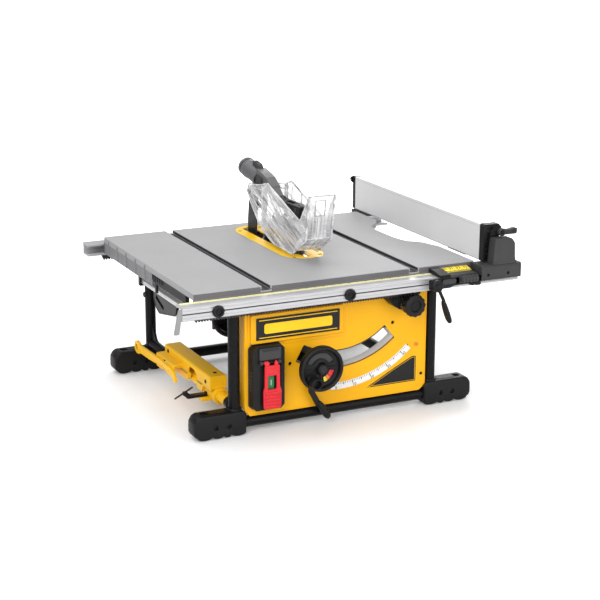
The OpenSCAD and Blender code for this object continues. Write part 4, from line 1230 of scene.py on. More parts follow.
def fence_head():
    cuts = [plate("Y", -305, -295.5, rounded([(x0, z0), (x1, z0), (x1, z1), (x0, z1)], 2.2, 3))
            for x0, x1, z0, z1 in HEAD_RECESSES]
    cuts.append(plate("Y", -305, -293.5, rounded(
        [(364, 350), (379, 350), (379, 386), (371, 386), (364, 378)], 2.5, 3)))
    plate("Y", -299.8, -283, rounded(
        [(343, 331), (377, 331), (383, 337), (383, 387), (388.5, 392), (388.5, 406), (381, 414),
         (347, 414), (343, 411)], [1, 3, 3, 3, 3, 4, 5, 2, 1], 4)).finish(
        "fence_head_frame", "black_plastic", "fence", 0.9, 3, 40, "fence_head", cut=cuts)
    part = plate("Y", -302.6, -299, rounded(
        [(358, 386), (384, 390), (386, 404), (378, 411), (360, 400)], 4, 4))
    part.cylinder("Y", FENCE_LATCH, -316, -299, 4, n=32, chamfer=0.5)
    part.cylinder("Y", FENCE_LATCH, -302, -299, 9.5)
    part.sweep([(346, -300.2, 412.6), (360, -300.6, 412.4), (376, -300.6, 412.2)], 1.6, 12)
    part.cylinder("Y", (371, 400), -304.6, -301, 3.2, n=24, chamfer=0.6)
    part.finish("fence_head_boss", "black_plastic", "fence", 0.7, 3)


def front_latch():
    part = Part().lathe(at_y(FENCE_LATCH, -302.2), FRONT, [
        (0, 4.06), (0, 8.3), (0.7, 8.6), (10.6, 8.6), (11.8, 7.6), (11.8, 5.4), (9.4, 5.0),
        (9.4, 4.06)])
    part.prism("Y", -312.8, -303.2, rounded(
        [(386, 402.6), (402, 401.5), (410, 403.6), (418, 403.8), (421.2, 401.2), (421.2, 392.5),
         (418, 389.8), (402, 390.2), (386, 389.8)], [2, 8, 6, 3, 3, 3, 3, 8, 2], 4))
    recess = rounded([(397, 393), (412, 392.6), (412, 399), (397, 399.2)], 2.4, 4)
    part.finish(
        "front_latch_lever", "dark_grey_plastic", "latch_front", 1.1, 3, 40,
        "fence_latch_front",
        cut=[plate("Y", -314, -310.6, recess), hole("Y", (415, 397), -314, -310.5, 3.0)])
    part = Part()
    for k in range(3):
        x = 408 + k * 3.6
        part.pad("Y", -313.4, -312.2, x, 409.6 + k * 3.6, 401.0, 403.2, 0.5)
    part.lathe(at_y(FENCE_LATCH, -311.6), FRONT, [
        (0, 0), (0, 3.6), (1.6, 3.4), (1.9, 2.4), (1.2, 2.0), (1.2, 0)], 24)
    part.finish("front_latch_details", "dark_grey_plastic", "latch_front", 0.1, 1)


def fence_tail():
    cap = rounded([(343, 331), (368, 331), (368, 408), (364, 412), (345, 412), (343, 410)],
                  [1, 3, 3, 3, 1, 1], 4)
    cuts = [plate("Y", 315, 322, rounded(
        [(347, z), (364, z), (364, z + 17), (347, z + 17)], 2.5, 3)) for z in (335, 357)]
    plate("Y", 305, 319, cap).finish(
        "fence_tail_cap", "black_plastic", "fence", 1.0, 3, 40, "fence_tail", cut=cuts)
    knob_x, knob_z = 347, 404
    part = Part()
    part.lathe((363, 319, 388), BACK, [(0, 0), (0, 4), (12.4, 4), (13, 3.2), (13, 0)], 28)
    part.lathe((knob_x, 319, knob_z), BACK, [
        (-1, 0), (-1, 9), (3.4, 9), (4.2, 8.2), (4.2, 6.2), (11.4, 6), (12, 5.2), (12, 2.4),
        (10.6, 2.0), (10.6, 0)], 36)
    for k in range(10):
        angle = 2 * pi * k / 10
        part.lathe((knob_x + 5.9 * cos(angle), 323.4, knob_z + 5.9 * sin(angle)), BACK,
                   [(0, 0), (0, 0.8), (7.2, 0.8), (7.6, 0)], 8)
    part.finish("fence_tail_knob", "black_plastic", "fence", 0.3)


def rear_latch():
    part = Part().lathe((363, 321.1, 388), BACK, [
        (0, 4.06), (0, 7.8), (0.6, 8), (9.0, 8), (9.8, 7.2), (9.8, 4.06)], 40)
    part.prism("Y", 322, 330, rounded(
        [(364, 393), (380, 392), (392, 394.4), (395, 392), (395, 385), (392, 382.6), (380, 384),
         (364, 383)], [1, 6, 3, 3, 3, 3, 6, 1], 4))
    part.finish("rear_latch_lever", "dark_grey_plastic", "latch_rear", 1.0, 3, 40,
                "fence_latch_rear")


def tube_cap():
    Part().lathe((TUBE_LEFT - 12.2, TUBE_BACK, 184), LEFT, [
        (-0.6, 0), (-0.6, 6.4), (2.6, 6.4), (4.2, 5.4), (4.2, 2.2), (3.0, 1.8),
        (3.0, 0)], 36).finish("tube_cap", "dark_grey_plastic", "root", 0.2, 1)


# ------------------------------------------------------------------ handwheel, bevel lock
# Section of the handwheel, (y, radius)
WHEEL_SECTION = [
    (-326, 6.05), (-326, 9.6), (-324.6, 11.4), (-322.5, 12), (-314, 12.4), (-312.2, 13.4),
    (-311, 15.5), (-311, 38), (-311.6, 39.8), (-313, 41), (-319, 42.2), (-321.2, 43.6),
    (-322, 45.6), (-321.9, 47), (-321, 48.8), (-319.4, 49.8), (-317.5, 50), (-308.5, 50),
    (-306.8, 49.4), (-306, 47.8), (-306, 41), (-306.6, 39.6), (-308.5, 38.6), (-308.5, 14),
    (-307, 12), (-274, 12), (-274, 6.05)]
# Coloured sectors behind the lower window: name, material, start and end in degrees
WHEEL_MARKS = (("low", "label_yellow", -82, -60), ("mid", "orange_mark", -60, -46),
               ("high", "red_plastic", -46, -8))


def handwheel():
    windows = [wheel_band(21, 33.5, 24, 156), wheel_band(21, 33.5, -76, -14)]
    Part().turned("Y", WHEEL, WHEEL_SECTION, 96).finish(
        "handwheel_rim", "black_plastic", "wheel", 0.3, 2, 40, "handwheel", sharp=38,
        cut=[plate("Y", -330, -300, rounded(window, 2.5, 3)) for window in windows])
    part = Part()
    part.lathe(at_y(CRANK, -306), FRONT, [
        (0, 4.06), (0, 12.6), (0.6, 13), (11, 13), (12, 12), (12, 4.06)], 56)
    part.rim("Y", -312.2, -310.6, wheel_band(19.6, 35.2, 21, 159, 30), 1.5)
    part.rim("Y", -312.2, -310.6, wheel_band(19.6, 35.2, -79, -11), 1.5)
    for degrees in (180, 205, 270, 0):
        sine, cosine = sin(radians(degrees)), cos(radians(degrees))
        part.prism("Y", -313.2, -310.4, [
            (WHEEL[0] + radius * cosine - side * sine, WHEEL[1] + radius * sine + side * cosine)
            for radius, side in ((13, -1.1), (40.4, -1.1), (40.4, 1.1), (13, 1.1))])
    part.finish("handwheel_web", "black_plastic", "wheel", 0.5)
    plate("Y", -309.4, -307.6, rounded(wheel_band(17.5, 37.0, 18, 162, 30), 2, 3)).finish(
        "wheel_window_plate", "flap_grey", "wheel", 0.3, 1)
    for name, material, start, end in WHEEL_MARKS:
        plate("Y", -309.4, -307.6, wheel_band(17.5, 37.0, start, end, 8)).finish(
            "wheel_mark_" + name, material, "wheel", 0.1, 1)
    Part().lathe(at_y(WHEEL, -324.6), FRONT, [
        (-2, 0), (-2, 8.6), (0.4, 8.6), (1.3, 7.8), (1.4, 4.6), (0.2, 4.3), (0.2, 0)],
        6).finish("wheel_nut", "dark_grey_plastic", "wheel", 0.25)
    refine("wheel_axle", "knife_black", 0.3)


def crank_grip():
    Part().lathe(at_y(CRANK, -312.5), FRONT, [
        (0, 0), (0, 4), (9.4, 4), (9.7, 4.6), (9.7, 12.0), (10.6, 13.0), (20, 13.2),
        (26.6, 12.8), (28.8, 12.0), (29.5, 10.8), (29.3, 9.9), (28.2, 9.3), (16.5, 8.8),
        (16.5, 4.8), (18, 4.4), (18, 0)], 56).finish(
        "crank_grip_shell", "black_plastic", "grip", 0.2, 1, replaces="crank_grip", sharp=45)


def bevel_lever():
    x, z = WHEEL
    part = Part().lathe(at_y(WHEEL, -262), FRONT, [
        (0, 9.56), (0, 17.2), (0.8, 18), (9.2, 18), (10, 17.2), (10, 9.56)], 56)
    part.prism("Y", -270.6, -263.4, rounded(
        [(x - 7.5, z - 6), (x + 7.5, z - 6), (x + 5.5, 96), (x + 5.5, 80), (x + 23, 48),
         (x + 13, 41), (x - 6.5, 78), (x - 6.5, 96)], [0, 0, 6, 8, 3, 3, 8, 6], 5))
    part.finish("bevel_lever_arm", "black_plastic", "bevel_lock", 1.4, 3, 40, "bevel_lock_lever")
    grip = ((14, -267.5, 55), (18, -268, 49), (23, -268, 42), (29, -268, 33.5),
            (33.5, -268, 26.5), (37.5, -268, 20), (40, -268, 15), (41, -268, 11.8))
    Part().sweep([(x + out, y, height) for out, y, height in grip],
                 [5, 8, 10.2, 11.2, 11.4, 10.6, 8.2, 3.6], 28,
                 flat=[4.6, 6.6, 8.0, 8.6, 8.8, 8.2, 6.4, 2.8]).finish(
        "bevel_lever_grip", "black_plastic", "bevel_lock", 0, subdivide=1)


# ------------------------------------------------------------------ blade and motor
# CAD nodes that keep their shape: node, material, bevel in mm, bevel segments
DRIVE_NODES = (
    ("tilt_bracket", "knife_black", 0.6, 2), ("lift_posts", "steel", 0.4, 2),
    ("blade_shroud", "dark_grey_plastic", 0.8, 2), ("lift_screw", "steel", 0.2, 2),
    ("lift_carriage", "cast_grey", 0.7, 2), ("arbor_housing", "cast_grey", 0.6, 2),
    ("motor_housing", "motor_grey", 0.9, 2), ("armature", "copper_iron", 0.15, 1),
    ("arbor", "steel", 0.15, 1), ("blade", "blade_steel", 0.12, 1),
    ("blade_clamp", "steel", 0.4, 2), ("riving_knife", "knife_black", 0.25, 2),
    ("knife_lock", "red_plastic", 0.5, 2))


def drive():
    for node in DRIVE_NODES:
        refine(*node)
    Part().cylinder("X", ARBOR, 20.4, 30.9, 12.4, chamfer=0.6).finish(
        "blade_washer", "steel", "blade_spindle", 0.2, 1)


def motor_ribs():
    """Ribs round the motor and a round cap above and below it."""
    offset, drop = 36, atan2(19.9, 30)      # distance and angle from the arbor
    y, z = ARBOR[0] + offset * cos(drop), ARBOR[1] - offset * sin(drop)
    part = Part()
    for k in range(7):
        part.lathe((-176 + k * 9, y, z), RIGHT,
                   [(0, 41.5), (0.6, 43.2), (3.0, 43.2), (3.6, 41.5)], 64)
    for side in (-1, 1):
        part.lathe((-108, y, z + side * 40), (0, 0, side),
                   [(0, 0), (0, 8), (3.4, 7.4), (4.2, 6.2), (4.2, 0)], 28)
    part.finish("motor_ribs", "motor_grey", "lift_unit", 0.3, 1)


# ------------------------------------------------------------------ guard arm and duct
DUCT_ORIGIN, DUCT_DIRECTION = (15, 240, 478.5), (0, -0.98027, -0.19766)
# (distance along, radius)
DUCT_PROFILE = [
    (0, 18.2), (0, 20.8), (1.2, 21.9), (7, 22.0), (8.2, 21.2), (9.0, 20.2), (12.5, 20.0),
    (13.3, 21.0), (14.0, 21.8), (22, 22.0), (29, 21.8), (31, 20.6), (33, 19.8), (84, 19.6),
    (86, 19.2), (86, 18.0)]
# Side outlines, (y, z)
HOOD = rounded([(70, 450), (76, 459), (101, 475), (124, 481), (158, 487), (158, 452), (140, 446),
                (90, 441), (69, 443)], [3, 8, 10, 8, 2, 4, 8, 6, 4], 5)
FORK = rounded([(60, 441), (28, 437), (-82, 440.4), (-58, 404.4), (-48, 404.4), (-43, 424),
                (40, 420), (60, 431), (70, 446)], [8, 12, 6, 4, 4, 6, 8, 6, 4], 5)
FORK_RECESS = rounded([(-38, 436.5), (18, 434), (34, 425), (-38, 427.6)], 3, 4)
CHEEK = rounded([(120, 466), (198, 479.5), (206, 440), (190, 426), (140, 424), (122, 440)],
                [3, 6, 12, 10, 8, 6], 5)


def guard_duct():
    Part().lathe(DUCT_ORIGIN, DUCT_DIRECTION, DUCT_PROFILE, 64).finish(
        "guard_duct", "duct_grey", "lift_unit", 0.3, 2, 45, "guard_arm", sharp=38)
    Part().lathe(DUCT_ORIGIN, DUCT_DIRECTION,
                 [(8.6, 20.1), (8.6, 20.8), (12.9, 20.8), (12.9, 20.1)], 64).finish(
        "guard_duct_ring", "black_plastic", "lift_unit", 0.2, 1)
    hollow = rounded([(88, 456), (102, 466), (128, 474), (134, 442), (90, 438)], 4, 4)
    plate("X", 3.2, 26.8, HOOD).finish(
        "guard_hood", "duct_grey", "lift_unit", 2.2, 4, 50, cut=[plate("X", 6, 24, hollow)])
    neck = rounded([(82, 462), (74, 445), (56, 428), (40, 421), (28, 436.4), (50, 437)],
                   [4, 4, 8, 3, 3, 10], 5)
    plate("X", 4, 26, neck).finish("guard_neck", "duct_grey", "lift_unit", 1.8, 3, 50)


def guard_fork():
    nose_slot = rounded([(-40, 435), (-66, 436), (-54, 412), (-48, 430)], [2, 3, 2, 2], 3)
    plate("X", 3, 27, FORK).finish(
        "guard_fork", "black_plastic", "lift_unit", 1.6, 3, 45,
        cut=[plate("X", 11, 19, nose_slot), plate("X", 0, 6, FORK_RECESS),
             plate("X", 24, 30, FORK_RECESS), Part().box((9, -30, 434), (21, 10, 444))])
    part = Part()
    for x in (2.6, 26.0):
        for y in (-30, -18, -6, 6):
            part.prism("X", x, x + 1.4, [(y, 427.6), (y + 2, 427.6), (y + 8, 434.6),
                                         (y + 6, 434.6)])
        part.prism("X", x, x + 1.4, [(-50, 434), (-62, 434.6), (-53, 416), (-50, 420)])
    part.prism("X", 9.4, 20.6, rounded(
        [(-55, 441.4), (-80, 441.2), (-79, 439.4), (-55, 439.4)], 0.8, 2))
    part.finish("guard_fork_ribs", "dark_grey_plastic", "lift_unit", 0.4, 1)


def guard_cheeks():
    part = plate("X", 7, 13.7, CHEEK).prism("X", 16.5, 23, CHEEK)
    part.prism("X", -1, 31, rounded(
        [(122, 450), (122, 470), (150, 474), (168, 450), (158, 430), (138, 428)],
        [4, 4, 8, 8, 10, 8], 5))
    part.finish("guard_cheeks", "dark_grey_plastic", "lift_unit", 1.4, 3, 50,
                cut=[Part().box((13.9, 172, 400), (16.3, 240, 446.3)),
                     hole("X", GUARD_PIVOT, -25, 55, 3.9)])
    part = plate("X", 9.4, 20.6, rounded(
        [(152, 478), (154, 489), (162, 496.2), (191, 500), (192, 487)], [1, 3, 3, 2, 1], 4))
    for k in range(3):
        y, rise = k * 6, k * 0.8
        part.prism("X", 10, 20, [(170 + y, 497.0 + rise), (172.4 + y, 497.3 + rise),
                                 (172.4 + y, 498.4 + rise), (170 + y, 498.1 + rise)])
    part.finish("guard_catch", "dark_grey_plastic", "lift_unit", 0.8, 3)


def guard_pin():
    part = Part()
    part.lathe((0, *GUARD_PIVOT), RIGHT, [(-20, 0), (-20, 4), (46, 4), (46, 0)], 32)
    for x, outward in ((-20, LEFT), (46, RIGHT)):
        part.lathe((x, *GUARD_PIVOT), outward, [
            (0, 0), (0, 6.5), (1.0, 6.2), (1.8, 4.8), (1.8, 2.4), (0.9, 2.2), (0.9, 0)], 32)
    part.finish("guard_pivot_pin", "steel", "lift_unit", 0.2, 1)
    refine("shield_link", "knife_black", 0.4)


# ------------------------------------------------------------------ clear shields
# Side outlines, (y, z)
SHIELD = rounded([(74, 467), (46, 475), (-116, 424), (-128, 424), (-172, 484), (-176, 484),
                  (-156, 380), (-104, 348), (-90, 337.5), (12, 340.5), (76, 360)],
                 [8, 8, 10, 10, 3, 3, 8, 6, 6, 6, 6], 5)
SHIELD_SLOTS = (
    [(40, 452), (8, 443), (4, 438), (30, 444)], [(-30, 430), (-66, 419), (-70, 413), (-40, 421)],
    [(30, 378), (-20, 362), (-24, 356), (26, 368)])
SHIELD_RIBS = (((58, 372), (40, 462)), ((6, 343), (-8, 454)), ((-46, 341), (-66, 436)),
               ((-98, 352), (-120, 422)), ((-140, 382), (-160, 466)))
SHIELD_RINGS = (((38, 396), 9), ((-28, 384), 7), ((-80, 366), 6), ((62, 420), 6))
LINK = rounded([(170, 438), (158, 456), (130, 456), (66, 468), (60, 440), (66, 366), (89, 364),
                (114, 377), (154, 413)], [14, 14, 8, 6, 4, 4, 8, 10, 16], 5)
LINK_WINDOW = rounded([(84, 380), (100, 386), (128, 412), (112, 420), (84, 402)], 5, 4)
LINK_RIBS = (((142, 430), (74, 378)), ((146, 446), (70, 452)), ((140, 436), (70, 424)),
             ((112, 408), (72, 404)))
TOE_RIB = rounded([(-149, 388), (-155, 384.4), (-106, 349), (-100.5, 353), (-112, 372),
                   (-140, 390)], [2, 0.5, 1, 3, 10, 6], 4)
WING_TOP = 484


def span(side, near, far):
    """The x range between two distances from the guard's middle, on one side of it."""
    shift = 7 if side > 0 else 0
    return sorted(TILT[0] + side * distance - shift for distance in (near, far))


def shield_side(name, side, body):
    """The long side plate with its rim, ribs and rings."""
    x0, x1 = span(side, 33.6, 35.4)
    plate("X", x0, x1, SHIELD).finish(
        "shield_plate_" + name, "clear_plastic", body, 0.5, 2, 40, "shield_" + name,
        cut=[plate("X", -60, 90, rounded(slot, 3, 3)) for slot in SHIELD_SLOTS])
    part = Part().rim("X", *span(side, 32.8, 36.0), SHIELD, 3.0)
    slope = Vector((-0.945, -0.327))
    inner = grow(SHIELD, -2.5)
    x0, x1 = span(side, 33.0, 34.6)
    for drop in (20, 33, 46, 58, 71, 84):
        origin = Vector((74, 467)) + Vector((0, -drop))
        for start, end in clip(inner, origin, slope):
            if end - start > 12:
                part.rib(x0, x1, origin + slope * start, origin + slope * end, 1.9)
    for start, end in SHIELD_RIBS:
        part.rib(x0, x1, start, end, 1.7)
    for centre, radius in SHIELD_RINGS:
        part.lathe((x0, *centre), RIGHT, [(0, radius - 1.6), (0, radius), (x1 - x0, radius),
                                          (x1 - x0, radius - 1.6)], 28)
    part.finish("shield_ribs_" + name, "clear_edge", body, 0.35, 2, 40)


def shield_link_plate(name, side, body):
    """The plate that joins the side to the guard pivot."""
    x0, x1 = span(side, 28.2, 30.2)
    plate("X", x0, x1, LINK).finish(
        "shield_link_plate_" + name, "clear_plastic", body, 0.5, 2, 40,
        cut=[hole("X", GUARD_PIVOT, -60, 90, 4.2), plate("X", -60, 90, LINK_WINDOW)])
    x0, x1 = span(side, 27.7, 30.7)
    part = Part().rim("X", x0, x1, LINK, 2.6)
    part.lathe((x0, *GUARD_PIVOT), RIGHT,
               [(0, 4.2), (0, 11.5), (x1 - x0, 11.5), (x1 - x0, 4.2)], 40)
    for start, end in LINK_RIBS:
        part.rib(x0, x1, start, end, 1.8)
    part.prism("X", *span(side, 27.8, 35.8), rounded(
        [(66, 374), (71.8, 372), (71.8, 462), (66, 464)], 1.5, 3))
    part.finish("shield_link_ribs_" + name, "clear_edge", body, 0.4, 2, 40)


def wing_y(z):
    """The leaning front wing's y at a height."""
    return -169.6 - 2.0 + (WING_TOP - z) * 0.174


def wing_slab(part, points, front, back):
    """A panel along the wing from an (x, z) outline, between two offsets in y."""
    first, last = ([part.bm.verts.new(scene_point(x, wing_y(z) + offset, z)) for x, z in points]
                   for offset in (front, back))
    return part.solid(first, last)


def shield_wing(name, side, body):
    """The leaning front wing, its window and its rim."""
    left, right = span(side, 4.2 if side < 0 else 3.6, 35.8)
    if side > 0:
        radii, window, outer, inner = [0.5, 2, 7, 0.5], (11.0, 21.5), right - 2.4, (21.5, 23.3)
    else:
        radii, window, outer, inner = [2, 0.5, 0.5, 7], (0.0, 11.4), left, (-1.8, 0.0)
    outline = rounded([(left, 386), (right, 386), (right, WING_TOP), (left, WING_TOP)], radii, 5)
    opening = [(window[0], 438), (window[1], 438), (window[1], 471), (window[0], 471)]
    wing_slab(Part(), outline, 0.3, 2.3).finish(
        "shield_wing_" + name, "clear_wing", body, 0.3, 2, 40,
        cut=[wing_slab(Part(), opening, -3, 6)])

    # The wing's rims and bars, clear plastic drawn in opaque grey: painted reflections along
    # their edges
    part = Part()

    def bar(x0, x1, z0, z1, front=-0.1, back=3.0):
        wing_slab(part, [(x0, z0), (x1, z0), (x1, z1), (x0, z1)], front, back)

    bar(left, right, 481.6, WING_TOP)
    # the outer upright uses whichever of the panel's own sides it lies on
    bar(outer, right if side > 0 else left + 2.4, 386, 482)
    bar(*inner, 436, 473)
    frame_left = max(left, min(window[0], inner[0]))
    frame_right = min(right, max(window[1], inner[1]))
    bar(frame_left, frame_right, 471, 473)
    bar(frame_left, frame_right, 436.2, 438)
    for z in (396, 405, 414, 424):
        bar(left + 2, right - 2, z, z + 1.3, 0.1, 2.8)
    for k in range(4):
        x = left + 4 + k * (right - left - 8) / 3
        bar(x - 0.6, x + 0.6, 388, 434, 0.1, 2.8)
    part.finish("shield_wing_rim_" + name, "clear_line", body, 0.35, 2, 40)

    part = plate("X", left, right, [(-151.6, 385.5), (-154.6, 384.5), (-106, 349.3),
                                    (-103.6, 351)])
    for x in (left, (left + right) / 2, right - 1.6):
        part.prism("X", x, x + 1.6, TOE_RIB)
    part.finish("shield_toe_" + name, "clear_edge", body, 0.4, 2, 40)


def shield_side_ribs(name, side, body):
    part = Part()
    x0, x1 = span(side, 33.2, 35.9)
    for z in (388, 404, 420, 436, 452, 468):
        y = wing_y(z) + 3
        end = y + 24
        if z > 424:
            end = min(end, -120 - (z - 424) * 0.7)
        part.rib(x0, x1, (y, z), (end, z - 8), 1.5)
    part.finish("shield_side_ribs_" + name, "clear_edge", body, 0.3, 2, 40)


def shields():
    for name, side in (("left", -1), ("right", 1)):
        for build in (shield_side, shield_link_plate, shield_wing, shield_side_ribs):
            build(name, side, "guard_" + name)


# ------------------------------------------------------------------ storage on the left side
def storage_bracket():
    channel = rounded(
        [(-252, 75), (-247.5, 75), (-247.5, 102.8), (-216.4, 102.8), (-216.4, 79), (-212, 79),
         (-212, 105), (-214, 107), (-249, 107), (-252, 104)], [1, 1, 1, 1, 1, 1, 2, 3, 4, 3], 3)
    outer_notch = rounded([(-90, 74), (-34, 74), (-36, 88), (-46, 97), (-74, 97), (-86, 90)],
                          [0, 0, 8, 10, 12, 10], 5)
    inner_window = rounded([(-120, 78), (-30, 78), (-34, 97), (-116, 97)], 6, 4)
    plate("Y", -165, 105, channel).finish(
        "storage_channel", "yellow_soft", "root", 0.9, 3, 40, "storage_bracket",
        cut=[plate("X", -256, -246, outer_notch), plate("X", -218, -208, inner_window)])
    part = plate("X", -252, -243.4, rounded(
        [(-120, 60), (-92, 60), (-86, 70), (-86, 79), (-120, 79)], [6, 6, 6, 0, 0], 5))
    part.prism("X", -252, -243.4, rounded(
        [(-36, 79), (-36, 70), (-28, 60), (60, 60), (60, 79)], [0, 6, 6, 6, 0], 5))
    part.lathe((TUBE_LEFT, -172, SIDE_TUBE_Z), BACK, [
        (0, 12.6), (0, 17.6), (0.9, 18.5), (53, 18.5), (54, 17.6), (54, 12.6)], 56)
    part.prism("Y", -160, -122, rounded(
        [(-251, 78), (-248, 58), (-240, 48), (-236, 78)], [1, 5, 3, 1], 4))
    part.prism("Y", -142, -120, rounded(
        [(-262, 46), (-240, 45), (-240, 54.5), (-262, 54.5)], [3, 1, 1, 1], 4))
    part.box((-250, -164, 77), (-216, -160, 104)).box((-250, 100, 77), (-216, 104, 104))
    part.finish("storage_clamp", "yellow_soft", "root", 1.1, 3,
                cut=[hole("Y", (TUBE_LEFT, SIDE_TUBE_Z), -210, 110, 12.55)])


def storage_wing():
    part = plate("Z", 88, 91.6, rounded(
        [(-275.5, -10), (-251, -10), (-251, 100), (-275.5, 100)], [4, 1, 1, 4], 4))
    for y0, y1 in ((-10, 40), (60, 100)):
        part.prism("X", -275.5, -272.2, rounded(
            [(y0, 60), (y1, 60), (y1, 90), (y0, 90)], [5, 5, 0, 0], 4))
    for y in (-4, 22, 48, 74, 92):
        part.prism("Y", y, y + 2.4, [(-273, 88.6), (-251, 88.6), (-251, 80), (-270, 84)])
    part.finish("storage_wing", "yellow_soft", "root", 0.9, 3)
    part = Part()
    for place, outward in (((-252, -140, 90), LEFT), ((-252, 84, 96), LEFT),
                           ((-230, -140, 107), UP)):
        part.lathe(place, outward, [(-1, 0), (-1, 4.6), (0.8, 4.4), (1.6, 3.2), (1.6, 0)], 28)
    part.finish("storage_screws", "black_plastic", "root", 0.2, 1)


def wrenches():
    part = plate("Z", 54.6, 61.4, rounded(
        [(-293, -137), (-247, -137), (-247, -124), (-293, -124)], [5, 1, 1, 5], 5))
    part.sweep([(-321, -130.5, 56.7), (-316, -130.5, 59.2), (-300, -130.5, 67.2),
                (-284, -130.5, 75.2), (-278.3, -130.5, 78.1)], [1.7, 1.9, 2.0, 2.0, 1.8], 14)
    part.cylinder("X", (-130.5, 58), -250, -246, 6.4, n=28, chamfer=0.4)
    part.prism("Y", -134.5, -126.5, rounded(
        [(-303, 64), (-292, 55.2), (-284, 54.8), (-284, 61.2), (-293, 70.5), (-300, 70.5)],
        [3, 3, 1, 2, 3, 3], 3))
    part.finish("wrench_pair", "knife_black", "root", 0.5, 2, 40, "wrenches")


def push_stick():
    eye_y, eye_z = 214, 73
    outline = rounded(
        [(-34, 58), (-20, 58), (-8, 70), (60, 71), (130, 66), (190, 64), (202, 59), (214, 57.5),
         (226, 62), (231, 73), (226, 84), (214, 88.5), (202, 87), (190, 82), (130, 84), (60, 86),
         (-2, 84), (-22, 80), (-30, 72)],
        [3, 3, 6, 20, 20, 6, 4, 8, 6, 8, 6, 8, 4, 6, 20, 20, 8, 6, 6], 4)
    groove = rounded([(4, 73), (180, 69.4), (180, 77.5), (4, 81)], 3, 4)
    plate("X", -282, -276, outline).finish(
        "push_stick_body", "yellow_soft", "pusher", 1.4, 3, 40, "push_stick",
        cut=[hole("X", (eye_y, eye_z), -290, -270, 7), plate("X", -283, -280.6, groove)])
    Part().lathe((-282.0, eye_y, eye_z), RIGHT, [
        (-0.6, 7.0), (-0.6, 10.4), (6.6, 10.4), (6.6, 7.0)], 40).finish(
        "push_stick_eye", "yellow_soft", "pusher", 0.6)


def mitre_gauge():
    head = rounded([(-52, 263), (-52, 240), (-44, 214), (62, 194), (80, 203), (95, 225),
                    (95, 263)], [4, 12, 18, 18, 8, 8, 4], 5)
    pivot_y, pivot_z = 20, 257.7
    # ends of the slanting slot: centre (y, z), first angle
    slot = [(y + 4.5 * cos(radians(degrees)), z + 4.5 * sin(radians(degrees)))
            for y, z, first in ((35, 214, 110), (76, 229, -70))
            for degrees in range(first, first + 181, 15)]
    plate("X", -281, -275, head).finish(
        "mitre_head_plate", "label_black", "gauge_head", 1.0, 3, 40, "mitre_head",
        cut=[plate("X", -285, -270, slot), hole("X", (pivot_y, pivot_z), -285, -270, 4.05)])
    Part().rim("X", -281.6, -280.6, grow(head, -1.2), 2.0).finish(
        "mitre_head_rim", "label_black", "gauge_head", 0.4)
    bar = rounded([(-300, 253), (-281.2, 253), (-281.2, 262.4), (-300, 262.4)], 0.8, 2)
    plate("Y", -190, 135, bar).finish(
        "mitre_bar_steel", "fence_aluminium", "gauge_bar", 0.5, 2, 40, "mitre_bar",
        cut=[Part().pad("Z", 261, 264, -296, -286, -180, 120, 3)])
    Part().lathe((-281.2, pivot_y, pivot_z), RIGHT, [
        (-1, 0), (-1, 4), (7.2, 4), (7.2, 0)], 28).finish(
        "mitre_pivot", "steel", "gauge_bar", 0.3, 1)
    refine("gauge_holder", "black_plastic", 0.7)


def mains_cord():
    x, y, bend = -236, -150, 46     # hanging run, and the radius of the turn below it
    path = [(x, y, z) for z in (306, 285, 262, 236)]
    for k in range(1, 13):
        angle = radians(90 * k / 12)
        path.append((x + bend - bend * cos(angle), y, 236 - bend * sin(angle)))
    path += [(-170, y, 190), (-130, y, 190)]
    Part().sweep(path, 4.5).finish("mains_cord", "cord_rubber", "root", 0, replaces="power_cord")
    part = plate("Z", 300, 317, rounded(
        [(-246, -158), (-226, -158), (-226, -142), (-246, -142)], 3, 4))
    for k in range(4):
        radius = 6.4 - k * 0.4
        part.lathe((x, y, 294 - k * 5), UP, [(0, 4.4), (0, radius), (3, radius), (3, 4.4)], 28)
    part.finish("cord_relief", "black_plastic", "root", 0.6)


def finish_remaining_nodes():
    """Gives the material of its slot to any CAD node that nothing replaces."""
    replaced = set()
    for ob in bpy.context.scene.objects:
        replaced |= set(ob.get("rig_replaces", []))
    slots = {part["node"]: part["material_slot"] for part in RECORD["subparts"]}
    for node, ob in NODES.items():
        if node not in replaced:
            ob.data.materials.clear()
            ob.data.materials.append(MATERIALS[slots.get(node, "black_plastic")])


# ------------------------------------------------------------------ studio
def studio_floor():
    """A pale floor that brightens to white away from the saw, for the camera only."""
    half = 40.0
    mesh = bpy.data.meshes.new("floor")
    mesh.from_pydata([(-half, -half, 0), (half, -half, 0), (half, half, 0), (-half, half, 0)],
                     [], [(0, 1, 2, 3)])
    floor = add_object("floor", mesh)
    floor.location = (0, 0, -0.0006)
    material, tree, shader = new_material("floor")
    colour = ramp(tree, noise(tree, scale=0.6, detail=2), (0.3, grey(0.90)), (0.7, grey(0.925)))
    place = add_node(tree, "TexCoord", {}).outputs["Object"]
    distance = add_node(tree, "VectorMath", {0: place}, operation="LENGTH").outputs["Value"]
    glow = add_node(tree, "MapRange", {
        "Value": distance, "From Min": 0.35, "From Max": 2.2, "To Min": 0.10, "To Max": 0.95})
    camera_ray = add_node(tree, "LightPath", {}).outputs["Is Camera Ray"]
    strength = maths(tree, "MULTIPLY", glow.outputs["Result"], camera_ray)
    feed(tree, shader, {"Base Color": colour, "Roughness": 0.6, "Emission Color": WHITE,
                        "Emission Strength": strength})
    mesh.materials.append(material)


